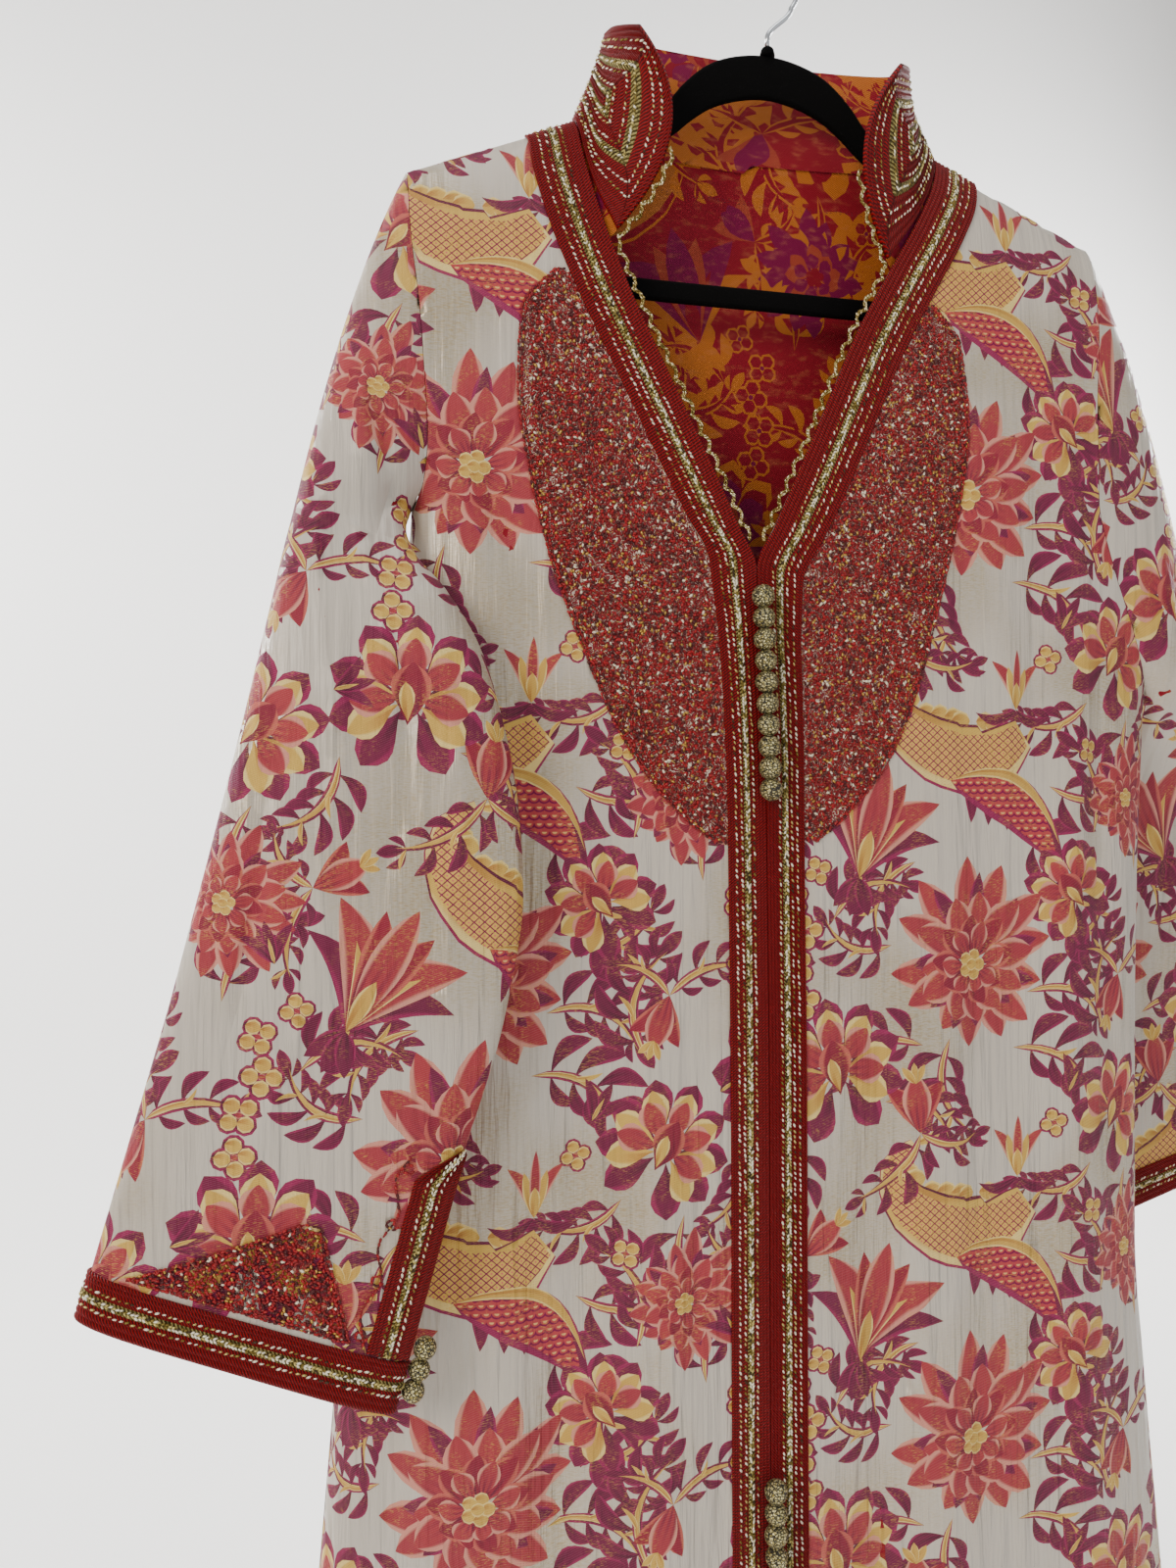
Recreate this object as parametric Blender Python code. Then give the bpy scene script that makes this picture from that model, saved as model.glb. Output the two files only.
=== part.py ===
"""Long open-front kaftan of brocade, hanging on a slim flat hanger.

All sizes below are in millimetres. X is the viewer's right, -Y the front, +Z up.
The origin is the inside top of the hanger's hook. "right" and "left" are the wearer's,
so the right half of the garment lies at negative X.
"""
import math
from collections import namedtuple

import bpy
from mathutils import Vector

MM = 0.001
RIGHT = -1
LEFT = 1
FRONT = -1
BACK = 1

# Cloth and trim
CLOTH = 1.2
GAP = 0.3
SEAM = GAP / 2
BRAID = 1.6
STITCH = 1.0
STITCH_GAP = 0.6
COLLAR_WALL = 2.2
HEM_Z = -1530.0

# Shoulder line: a straight slope to the tip, then a steepening fall over the sleeve head
TIP_X = 232.0
TIP_Z = -168.0
SHOULDER_SLOPE = 0.41
HEAD_FALL = 1.9
HEAD_CURVE_RIGHT = 0.0195
HEAD_CURVE_LEFT = 0.0085
SHOULDER_ROLL = 3.1
SIDE_SQUARENESS = 6

# Outline of the body, one row for each level
Level = namedtuple("Level", "z centre side_right side_left front back")
LEVELS = (
    Level(-57, -8, 400, 400, 26, 34),
    Level(-125, -7, 400, 400, 26, 34),
    Level(-168, -12, 400, 400, 26, 32),
    Level(-205, -17, 400, 400, 26, 30),
    Level(-250, -20, 400, 400, 26, 29),
    Level(-300, -19, 310, 380, 27, 28),
    Level(-332, -18.5, 258, 345, 28, 28),
    Level(-356, -18, 238, 322, 28, 28),
    Level(-372, -18, 229, 310, 28, 28),
    Level(-400, -18, 231, 295, 28, 28),
    Level(-432, -17, 236, 284, 29, 28),
    Level(-473, -15, 243, 279, 30, 28),
    Level(-530, -13, 251, 276, 30, 28),
    Level(-600, -12.5, 258, 273, 31, 29),
    Level(-720, -12, 266, 271, 33, 30),
    Level(-845, -12, 271, 271, 34, 31),
    Level(-950, -12, 279, 279, 35, 32),
    Level(-1074, -12, 290, 291, 37, 33),
    Level(-1300, -12, 312, 313, 40, 36),
    Level(-1530, -12, 334, 335, 44, 40),
)

# Half width of the neck opening, from the shoulder to the point of the V
Vee = namedtuple("Vee", "z half")
VEE = (
    Vee(-110, 124),
    Vee(-125, 122),
    Vee(-145, 118),
    Vee(-170, 109),
    Vee(-205, 93),
    Vee(-253, 69.5),
    Vee(-298, 48.5),
    Vee(-331, 33),
    Vee(-375, 12.5),
    Vee(-403, SEAM),
    Vee(-430, SEAM),
)
VEE_END_Z = -403.0

# Seam of the armhole, from the tip of the shoulder to the underarm
Armhole = namedtuple("Armhole", "part x_right z_right x_left z_left")
ARMHOLE = (
    Armhole(0.00, 232, -168, 232, -168),
    Armhole(0.20, 231, -206, 232, -222),
    Armhole(0.45, 226, -254, 228, -290),
    Armhole(0.65, 223, -298, 228, -345),
    Armhole(0.80, 221, -332, 240, -388),
    Armhole(0.92, 223, -357, 260, -432),
    Armhole(1.00, 229, -372, 279, -473),
)

# Width of the braid band that edges the front
Band = namedtuple("Band", "z width")
BAND = (
    Band(-110, 30),
    Band(-205, 33),
    Band(-344, 34.5),
    Band(-400, 31),
    Band(-450, 27),
    Band(-600, 25),
    Band(-1600, 25),
)

# Outer edge of the embroidered plastron, measured from the middle of the front
Plastron = namedtuple("Plastron", "z reach")
PLASTRON = (
    Plastron(-226, 126),
    Plastron(-250, 145),
    Plastron(-300, 149),
    Plastron(-350, 143),
    Plastron(-400, 131),
    Plastron(-450, 115),
    Plastron(-495, 98),
    Plastron(-530, 78),
    Plastron(-560, 50),
    Plastron(-572, 34),
)
PLASTRON_ROWS = 16
PLASTRON_COLUMNS = 5

# The largest folds of the skirt; a positive height stands out of the cloth
Fold = namedtuple("Fold", "face x_top z_top x_hem width height")
FOLDS = (
    Fold(FRONT, -74, -640, -92, 26, 5.0),
    Fold(FRONT, -128, -560, -152, 24, -4.0),
    Fold(FRONT, -184, -620, -212, 26, 5.5),
    Fold(FRONT, -228, -760, -270, 22, -4.0),
    Fold(FRONT, 62, -600, 74, 22, -3.5),
    Fold(FRONT, 104, -470, 122, 24, 4.5),
    Fold(FRONT, 152, -430, 178, 24, -3.5),
    Fold(FRONT, 198, -480, 232, 24, 5.0),
    Fold(FRONT, 236, -640, 284, 22, -3.5),
    Fold(BACK, -190, -520, -226, 30, 5.0),
    Fold(BACK, -118, -420, -142, 28, -4.0),
    Fold(BACK, -44, -560, -54, 30, 5.5),
    Fold(BACK, 36, -470, 44, 28, -4.0),
    Fold(BACK, 112, -540, 134, 30, 5.0),
    Fold(BACK, 192, -480, 228, 28, -4.0),
)
FOLD_FADE = 160.0

# Rows of the panels: drops below the shoulder, then even steps to the hem
DROPS = (0, 0.8, 3, 9, 20, 38, 62, 92, 126, 162, 198, 232, 258, 278)
SKIRT_ROWS = 15
FRONT_COLUMNS = (0.10, 0.24, 0.39, 0.54, 0.69, 0.83, 0.92, 0.975, 1.0)
BACK_HALF_COLUMNS = (0.0, 0.12, 0.26, 0.40, 0.52, 0.64, 0.76, 0.87, 0.95, 1.0)
BACK_NECK_DROP = 5.0

# The sleeves below the underarm, one row for each section. The chord of a section runs from
# the outer edge to the inner edge; the upper layer lies away from the body and the under
# layer next to it. The right sleeve hangs in front of the body and the left one behind it.
Section = namedtuple("Section", "part out_x out_y out_z in_x in_y in_z upper under")
SLIT_TOP = 0.80
CUFF_TOP = 0.9585
SLEEVE_RIGHT = (
    Section(0.00, 299, 22, -383, 229, 0, -372, 22, 22),
    Section(0.06, 304, 27, -404, 233, 9, -386, 22, 18),
    Section(0.12, 309, 32, -428, 229, 23, -402, 21, 15),
    Section(0.19, 315, 38, -455, 213, 37, -424, 20, 12),
    Section(0.27, 322, 43, -487, 195, 46, -456, 18, 10),
    Section(0.36, 330, 48, -522, 183, 52, -496, 16, 10),
    Section(0.46, 341, 52, -568, 174, 56, -545, 15, 10),
    Section(0.57, 352, 55, -612, 171, 58, -598, 14, 11),
    Section(0.68, 362, 58, -652, 182, 60, -668, 13, 11),
    Section(0.80, 374, 59, -695, 207, 60, -749, 13, 11),
    Section(0.90, 391, 60, -755, 226, 60, -816, 12, 10),
    Section(1.00, 408, 60, -815, 245, 60, -883, 11, 9),
)
SLEEVE_LEFT = (
    Section(0.00, 338, 16, -465, 279, 0, -473, 22, 22),
    Section(0.06, 343, 21, -487, 284, 9, -487, 21, 18),
    Section(0.12, 348, 27, -510, 281, 23, -505, 20, 16),
    Section(0.19, 352, 33, -533, 270, 35, -528, 19, 14),
    Section(0.27, 356, 38, -557, 258, 44, -556, 18, 12),
    Section(0.36, 361, 43, -583, 247, 50, -590, 17, 12),
    Section(0.46, 366, 47, -611, 237, 54, -630, 16, 12),
    Section(0.57, 371, 51, -642, 229, 56, -672, 15, 12),
    Section(0.68, 376, 54, -674, 224, 57, -708, 14, 12),
    Section(0.80, 381, 56, -706, 223, 58, -744, 13, 11),
    Section(0.90, 394.5, 58, -764, 236.5, 58, -807, 12, 10),
    Section(1.00, 408, 58, -822, 250, 58, -870, 11, 9),
)
HEAD_START_X = 241.0
HEAD_PARTS = tuple(drop / DROPS[-1] for drop in DROPS[:-1])
TUBE_PARTS = (0, 0.06, 0.12, 0.19, 0.27, 0.36, 0.46, 0.57, 0.68, SLIT_TOP, 0.87, CUFF_TOP, 1.0)
SLIT_BAND_EDGE = 0.86
SLIT_BAND_PARTS = (CUFF_TOP - 0.004, 0.92, 0.87, 0.835, SLIT_TOP)
SLEEVE_ACROSS = (0, 0.03, 0.1, 0.22, 0.36, 0.5, 0.64, 0.76, SLIT_BAND_EDGE, 0.95, 1.0)
SLEEVE_SQUARENESS = 5
SLIT_HALF_OPENING = 0.9

# Stand collar: its top edge, one row from the middle of the back to the front point
Crown = namedtuple("Crown", "part x y z")
CROWN = (
    Crown(0.00, 0, 27, -57),
    Crown(0.30, 60, 22, -58),
    Crown(0.50, 90, 11, -62),
    Crown(0.62, 99, 0, -66),
    Crown(0.75, 99, -12, -70),
    Crown(0.88, 95, -23, -74),
    Crown(1.00, 87, -31, -77),
)
COLLAR_SIDE = 0.55
COLLAR_END_Z = -203.0
COLLAR_FLARE_START = 0.74
COLLAR_FLARE_IN = 27.0
COLLAR_FLARE_OUT = 9.0
COLLAR_ALONG = 36
COLLAR_UP = 5

# Thread ball buttons
BALL = 14.4
CHEST_PITCH = 13.2
CHEST_TOP_Z = -421.0
LOWER_TOP_Z = -968.0
BALL_COUNT = 10
CUFF_BALL_COUNT = 3
CUFF_BALL = 13.0
CUFF_BALL_PITCH = 12.0

# Picot cord
PICOT_RADIUS = 1.3
PICOT_WAVE = 1.8
PICOT_PITCH = 9.0
PICOT_CLEARANCE = 0.75

# Hanger: outer and inner outline of one half, from the middle out to the end and back
Rim = namedtuple("Rim", "out_x out_z in_x in_z")
HANGER = (
    Rim(0, -66, 0, -94),
    Rim(22, -69, 20, -97),
    Rim(41, -77, 38, -104),
    Rim(57, -91, 52, -114),
    Rim(70, -107, 62, -123),
    Rim(86, -119, 76, -133),
    Rim(108, -123.5, 98, -141),
    Rim(134, -130.2, 124, -151.5),
    Rim(180, -149.1, 168, -170),
    Rim(216, -163.9, 193, -182),
    Rim(226, -173, 197, -188),
    Rim(228, -184, 198, -195),
    Rim(224, -196, 197, -203),
    Rim(214, -208, 192, -210),
    Rim(196, -219, 184, -214.5),
    Rim(172, -226, 164, -216),
    Rim(130, -229.5, 126, -217),
    Rim(66, -231, 64, -217.5),
    Rim(0, -231, 0, -217.5),
)
HANGER_THICK = 5.0
HANGER_EDGE = 1.4
NUB_RADIUS = 5.0
NUB_TOP_Z = -60.5
HOOK_WIRE = 3.4
CROOK_RADIUS = 21.0

# Colours and surfaces of the materials: red, green, blue, roughness, metallic
Finish = namedtuple("Finish", "red green blue roughness metallic")
FINISHES = {
    "brocade": Finish(0.72, 0.66, 0.58, 0.45, 0.0),
    "braid": Finish(0.42, 0.01, 0.012, 0.6, 0.0),
    "embroidery": Finish(0.36, 0.03, 0.03, 0.7, 0.0),
    "gold_thread": Finish(0.42, 0.33, 0.13, 0.35, 0.6),
    "velvet": Finish(0.004, 0.003, 0.003, 0.9, 0.0),
    "steel": Finish(0.6, 0.6, 0.6, 0.25, 1.0),
}


def clear_scene():
    """Remove every object, so that only the garment is in the file."""
    for item in list(bpy.data.objects):
        bpy.data.objects.remove(item, do_unlink=True)


def read(rows, key, column):
    """Smooth value of a column at a key; the table's first column is the key."""
    keys = [row[0] for row in rows]
    values = [getattr(row, column) for row in rows]
    if keys[0] > keys[-1]:
        keys.reverse()
        values.reverse()
    if key <= keys[0]:
        return values[0]
    if key >= keys[-1]:
        return values[-1]
    last = len(keys) - 1
    i = 0
    while keys[i + 1] < key:
        i += 1
    slopes = [(values[n + 1] - values[n]) / (keys[n + 1] - keys[n]) for n in range(last)]

    def tangent(n):
        if n == 0:
            return slopes[0]
        if n == last:
            return slopes[-1]
        if slopes[n - 1] * slopes[n] <= 0:
            return 0.0
        return 2 * slopes[n - 1] * slopes[n] / (slopes[n - 1] + slopes[n])

    span = keys[i + 1] - keys[i]
    t = (key - keys[i]) / span
    start = values[i] * (2 * t ** 3 - 3 * t ** 2 + 1) + tangent(i) * span * (t ** 3 - 2 * t ** 2 + t)
    end = values[i + 1] * (3 * t ** 2 - 2 * t ** 3) + tangent(i + 1) * span * (t ** 3 - t ** 2)
    return start + end


def blend(a, b, t):
    return a + (b - a) * t


def smooth(t):
    t = min(1.0, max(0.0, t))
    return t * t * (3 - 2 * t)


def side_name(side):
    return "right" if side == RIGHT else "left"


# The body's surface

def side_reach(side, z):
    return read(LEVELS, z, "side_" + side_name(side))


def centre_x(z):
    return read(LEVELS, z, "centre")


def shoulder_z(x):
    """Height of the top fold over the shoulder and down the outer edge of the sleeve head."""
    beyond = abs(x) - TIP_X
    if beyond <= 0:
        return TIP_Z - SHOULDER_SLOPE * beyond
    curve = HEAD_CURVE_RIGHT if x < 0 else HEAD_CURVE_LEFT
    return TIP_Z - HEAD_FALL * beyond - curve * beyond ** 2


def fold_height(face, x, z):
    """Sum of the soft vertical folds at a place on one face."""
    height = 0.0
    for fold in FOLDS:
        if fold.face != face or z > fold.z_top:
            continue
        down = (fold.z_top - z) / (fold.z_top - HEM_Z)
        middle = blend(fold.x_top, fold.x_hem, down)
        width = fold.width * (1 + 0.25 * down)
        grow = smooth((fold.z_top - z) / FOLD_FADE)
        height += fold.height * grow * math.exp(-((x - middle) / width) ** 2)
    return height


def roll_over(face, x, z):
    """Depth of one face below the top fold, before the side seam rounds it off."""
    full = read(LEVELS, z, "front" if face == FRONT else "back")
    drop = max(0.0, shoulder_z(x) - z)
    return full * math.tanh(SHOULDER_ROLL * math.sqrt(drop) / full)


def side_rounding(x, z):
    across = min(1.0, abs(x) / side_reach(RIGHT if x < 0 else LEFT, z))
    return math.sqrt(max(0.0, 1 - across ** SIDE_SQUARENESS))


def body_y(face, x, z):
    """Depth of the body's outer surface on one face."""
    depth = (roll_over(face, x, z) + fold_height(face, x, z)) * side_rounding(x, z)
    return face * max(depth, SEAM)


def body_point(face, x, z):
    return Vector((x, body_y(face, x, z), z))


def body_normal(face, x, z, step=1.5):
    """Outward direction of the body's surface, from its slopes."""
    slope_x = (body_y(face, x + step, z) - body_y(face, x - step, z)) / (2 * step)
    slope_z = (body_y(face, x, z + step) - body_y(face, x, z - step)) / (2 * step)
    return Vector((-slope_x, 1.0, -slope_z)).normalized() * face


def armhole(side, part):
    """X and Z of the armhole seam."""
    name = side_name(side)
    return side * read(ARMHOLE, part, "x_" + name), read(ARMHOLE, part, "z_" + name)


def vee_x(side, z):
    return centre_x(z) + side * read(VEE, z, "half")


def neck_side(side):
    """X and Z where the neckline meets the shoulder."""
    z = -123.0
    for _ in range(4):
        z = shoulder_z(vee_x(side, z))
    return vee_x(side, z), z


# Walls

def grid_normals(grid, closed, outward):
    """Unit normals of a grid of points.

    outward is a direction that they roughly face, or None for rings, which face away
    from their own middles.
    """
    rows = len(grid)
    columns = len(grid[0])
    normals = []
    for i in range(rows):
        line = []
        for j in range(columns):
            before = grid[max(i - 1, 0)][j]
            after = grid[min(i + 1, rows - 1)][j]
            if closed[i] and j in (0, columns - 1):
                left, right = grid[i][columns - 2], grid[i][1]
            else:
                left, right = grid[i][max(j - 1, 0)], grid[i][min(j + 1, columns - 1)]
            line.append((right - left).cross(after - before).normalized())
        normals.append(line)
    agreement = 0.0
    for points, line in zip(grid, normals):
        middle = sum(points, Vector()) / columns
        for point, normal in zip(points, line):
            agreement += normal.dot(outward if outward else point - middle)
    if agreement < 0:
        normals = [[-normal for normal in line] for line in normals]
    return normals


def keep_off_seams(point, normal):
    """Keep a wall's edge on its own side of the side seams and of the centre front."""
    if abs(point.y) < SEAM + 0.02:
        normal = Vector((normal.x, 0.0, normal.z))
    if abs(point.x - centre_x(point.z)) < SEAM + 0.02:
        normal = Vector((0.0, normal.y, normal.z))
    return normal.normalized()


def wall_mesh(grid, normals, low, high, closed, zipped):
    """Points and triangles of a wall between two offsets from a grid of points.

    A closed row joins its two ends. A zipped grid has its first row folded in two, so that
    the points on both sides of its middle are the same. Where an open row meets a closed one,
    the first cell is split the other way, so that the wall turns the corner cleanly.
    """
    rows = len(grid)
    columns = len(grid[0])
    number = {}
    points = []
    directions = []
    for i in range(rows):
        for j in range(columns):
            if closed[i] and j == columns - 1:
                number[i, j] = number[i, 0]
                continue
            if zipped and i == 0 and j > columns // 2:
                number[i, j] = number[i, columns - 1 - j]
                continue
            number[i, j] = len(points)
            points.append(grid[i][j])
            directions.append(normals[i][j])
    count = len(points)
    vertices = [p + n * high for p, n in zip(points, directions)]
    vertices += [p + n * low for p, n in zip(points, directions)]
    triangles = []
    for i in range(rows - 1):
        for j in range(columns - 1):
            a, b = number[i, j], number[i, j + 1]
            c, d = number[i + 1, j + 1], number[i + 1, j]
            halves = ((a, b, c), (a, c, d))
            if j == 0 and closed[i + 1] and not closed[i]:
                halves = ((a, b, d), (b, c, d))
            for corner in halves:
                if len(set(corner)) == 3:
                    triangles.append(corner)
    directed = set()
    for a, b, c in triangles:
        directed.update(((a, b), (b, c), (c, a)))
    faces = list(triangles)
    faces += [(c + count, b + count, a + count) for a, b, c in triangles]
    for a, b in directed:
        if (b, a) not in directed:
            faces.append((b, a, a + count))
            faces.append((b, a + count, b + count))
    faces.sort()
    return vertices, faces


def add_object(name, vertices, faces, finish, smooth_angle=0.9):
    """Make the object of a closed body, with its faces turned outwards."""
    mesh = bpy.data.meshes.new(name)
    mesh.from_pydata([v * MM for v in vertices], [], faces)
    mesh.update()
    volume = 0.0
    for face in faces:
        for k in range(1, len(face) - 1):
            a, b, c = vertices[face[0]], vertices[face[k]], vertices[face[k + 1]]
            volume += a.dot(b.cross(c))
    if volume < 0:
        mesh.flip_normals()
    mesh.shade_smooth()
    mesh.set_sharp_from_angle(angle=smooth_angle)
    mesh.materials.append(material(finish))
    item = bpy.data.objects.new(name, mesh)
    bpy.context.scene.collection.objects.link(item)
    return item


def material(finish):
    """The material of a finish, made once."""
    made = bpy.data.materials.get(finish)
    if made:
        return made
    values = FINISHES[finish]
    made = bpy.data.materials.new(finish)
    made.use_nodes = True
    shader = made.node_tree.nodes["Principled BSDF"]
    shader.inputs["Base Color"].default_value = (values.red, values.green, values.blue, 1.0)
    shader.inputs["Roughness"].default_value = values.roughness
    shader.inputs["Metallic"].default_value = values.metallic
    return made


class Sheet:
    """A grid of points with its normals, which a wall or a laid-on piece is made from."""

    def __init__(self, grid, outward, closed=None, zipped=False):
        self.grid = grid
        self.zipped = zipped
        self.closed = closed or [False] * len(grid)
        self.normals = grid_normals(grid, self.closed, outward)
        self.normals = [[keep_off_seams(p, n) for p, n in zip(points, line)]
                        for points, line in zip(grid, self.normals)]

    def at(self, row, column):
        """Point and normal at a fractional row and column."""
        i = min(int(row), len(self.grid) - 2)
        j = min(int(column), len(self.grid[0]) - 2)
        u, v = row - i, column - j

        def mix(table):
            if u >= v:
                return table[i][j] * (1 - u) + table[i + 1][j] * (u - v) + table[i + 1][j + 1] * v
            return table[i][j] * (1 - v) + table[i][j + 1] * (v - u) + table[i + 1][j + 1] * u

        return mix(self.grid), mix(self.normals).normalized()

    def part(self, rows, columns):
        """The piece of this sheet between whole rows and columns."""
        piece = Sheet.__new__(Sheet)
        piece.grid = [self.grid[i][columns] for i in range(*rows)]
        piece.normals = [self.normals[i][columns] for i in range(*rows)]
        piece.closed = [False] * len(piece.grid)
        piece.zipped = False
        return piece

    def wall(self, name, low, high, finish):
        vertices, faces = wall_mesh(
            self.grid, self.normals, low, high, self.closed, self.zipped)
        return add_object(name, vertices, faces, finish)


def patch(sheet, places):
    """A sheet whose points are read from another one at (row, column) places."""
    piece = Sheet.__new__(Sheet)
    read_points = [[sheet.at(row, column) for row, column in line] for line in places]
    piece.grid = [[point for point, _ in line] for line in read_points]
    piece.normals = [[normal for _, normal in line] for line in read_points]
    piece.closed = [False] * len(piece.grid)
    piece.zipped = False
    return piece


def index_of(values, value):
    """Fractional index of a value in a rising list."""
    if value <= values[0]:
        return 0.0
    for i in range(len(values) - 1):
        if value <= values[i + 1]:
            return i + (value - values[i]) / (values[i + 1] - values[i])
    return float(len(values) - 1)


# Body panels

def panel_edges(side):
    """Inner and outer edge points, as X and Z, of each row of a front panel."""
    neck_x, neck_z = neck_side(side)
    edges = []
    for drop in DROPS:
        part = drop / DROPS[-1]
        z = neck_z - part * (neck_z - VEE_END_Z)
        inner_x = neck_x if drop == 0 else vee_x(side, z)
        edges.append(((inner_x, z), armhole(side, part)))
    underarm_z = armhole(side, 1.0)[1]
    for step in range(1, SKIRT_ROWS + 1):
        part = step / SKIRT_ROWS
        z_in = blend(VEE_END_Z, HEM_Z, part)
        z_out = blend(underarm_z, HEM_Z, part)
        edges.append(((vee_x(side, z_in), z_in), (side * side_reach(side, z_out), z_out)))
    return edges


def armhole_normal(side, face, part):
    """Direction of the walls on both sides of the armhole seam, so that their edges match."""
    if part == 0:
        return Vector((side * 0.6, 0, 0.8))
    return body_normal(face, *armhole(side, part))


def match_armhole(sheet, side, face, column):
    """Give a column of a panel the directions of the armhole seam, down to the underarm."""
    for i, drop in enumerate(DROPS[:-1]):
        sheet.normals[i][column] = armhole_normal(side, face, drop / DROPS[-1])


def front_sheet(side):
    """Front panel: the first three columns lie under the braid band."""
    grid = []
    for (x_in, z_in), (x_out, z_out) in panel_edges(side):
        band = read(BAND, z_in, "width") / abs(x_out - x_in)
        across = [0.0, band / 2, band] + [band + (1 - band) * w for w in FRONT_COLUMNS]
        line = []
        for w in across:
            x = blend(x_in, x_out, w)
            z = blend(z_in, z_out, w)
            line.append(body_point(FRONT, x, z))
        grid.append(line)
    sheet = Sheet(grid, Vector((0, FRONT, 0)))
    match_armhole(sheet, side, FRONT, -1)
    return sheet


def back_edge_point(side, w):
    """Top edge of the back: the neckline, then the shoulder."""
    neck_x, neck_z = neck_side(side)
    middle_x = centre_x(neck_z)
    split = BACK_HALF_COLUMNS[4]
    if w <= split:
        along = w / split
        x = blend(middle_x, neck_x, along)
        return x, blend(neck_z - BACK_NECK_DROP, neck_z, along ** 4)
    along = (w - split) / (1 - split)
    x = blend(neck_x, side * TIP_X, along)
    return x, shoulder_z(x)


def back_sheet():
    """Back panel, one piece from side to side."""
    rows = []
    for side in (RIGHT, LEFT):
        neck_z = neck_side(side)[1]
        underarm_z = armhole(side, 1.0)[1]
        half = []
        for n in range(len(DROPS) + SKIRT_ROWS):
            line = []
            for w in BACK_HALF_COLUMNS:
                top_x, top_z = back_edge_point(side, w)
                if n < len(DROPS):
                    part = DROPS[n] / DROPS[-1]
                    out_x, out_z = armhole(side, part)
                    low_z = blend(VEE_END_Z, underarm_z, w)
                else:
                    part = 1.0
                    step = (n - len(DROPS) + 1) / SKIRT_ROWS
                    out_z = blend(underarm_z, HEM_Z, step)
                    out_x = side * side_reach(side, out_z)
                    low_z = blend(blend(VEE_END_Z, HEM_Z, step), out_z, w)
                z = blend(top_z, low_z, part)
                low_x = blend(centre_x(low_z), out_x, w)
                x = blend(top_x, low_x, smooth(part))
                if w == 1.0:
                    x, z = out_x, out_z
                line.append(body_point(BACK, x, z))
            half.append(line)
        rows.append(half)
    grid = []
    for right, left in zip(rows[0], rows[1]):
        middle = (right[0] + left[0]) / 2
        grid.append(list(reversed(right[1:])) + [middle] + left[1:])
    sheet = BackSheet(grid, Vector((0, BACK, 0)))
    match_armhole(sheet, RIGHT, BACK, 0)
    match_armhole(sheet, LEFT, BACK, -1)
    return sheet


class BackSheet(Sheet):
    """The back has no opening down its middle, so only the side seams bound its normals."""

    def __init__(self, grid, outward):
        self.grid = grid
        self.zipped = False
        self.closed = [False] * len(grid)
        self.normals = grid_normals(grid, self.closed, outward)
        for points, line in zip(grid, self.normals):
            for j, point in enumerate(points):
                if abs(point.y) < SEAM + 0.02:
                    line[j] = Vector((line[j].x, 0.0, line[j].z)).normalized()


# Sleeves

def swing_of(side):
    """The way a sleeve swings: the right one to the front, the left one to the back."""
    return FRONT if side == RIGHT else BACK


def head_point(side, part, across, layer):
    """Point of the sleeve head, between its outer edge and a place on the armhole seam."""
    swing = swing_of(side)
    face = swing * layer
    table = SLEEVE_RIGHT if side == RIGHT else SLEEVE_LEFT
    hole_x, hole_z = armhole(side, part)
    outer_x = side * blend(HEAD_START_X, table[0].out_x, part)
    x = blend(outer_x, hole_x, across)
    clear = side * GAP * across
    if part == 0:
        return Vector((x + clear, 0, shoulder_z(x)))
    z = blend(shoulder_z(outer_x), hole_z, across)
    rounding = blend(1.0, side_rounding(hole_x, hole_z), across ** 4)
    depth = roll_over(face, x, z) * rounding
    forward = table[0].out_y * part ** 2 * (1 - across)
    return Vector((x + clear, face * depth + swing * forward, z))


def tube_point(side, part, across, layer):
    """Point of the sleeve below the underarm."""
    table = SLEEVE_RIGHT if side == RIGHT else SLEEVE_LEFT

    def col(name):
        return read(table, part, name)

    outer = Vector((col("out_x"), col("out_y"), col("out_z")))
    inner = Vector((col("in_x"), col("in_y"), col("in_z")))
    if part == 0:
        inner += Vector((GAP, 0, -GAP))
    point = outer.lerp(inner, across)
    thick = col("upper") if layer > 0 else -col("under")
    point.y += thick * math.sqrt(max(0.0, 1 - abs(2 * across - 1) ** SLEEVE_SQUARENESS))
    return Vector((side * point.x, swing_of(side) * point.y, point.z))


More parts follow.
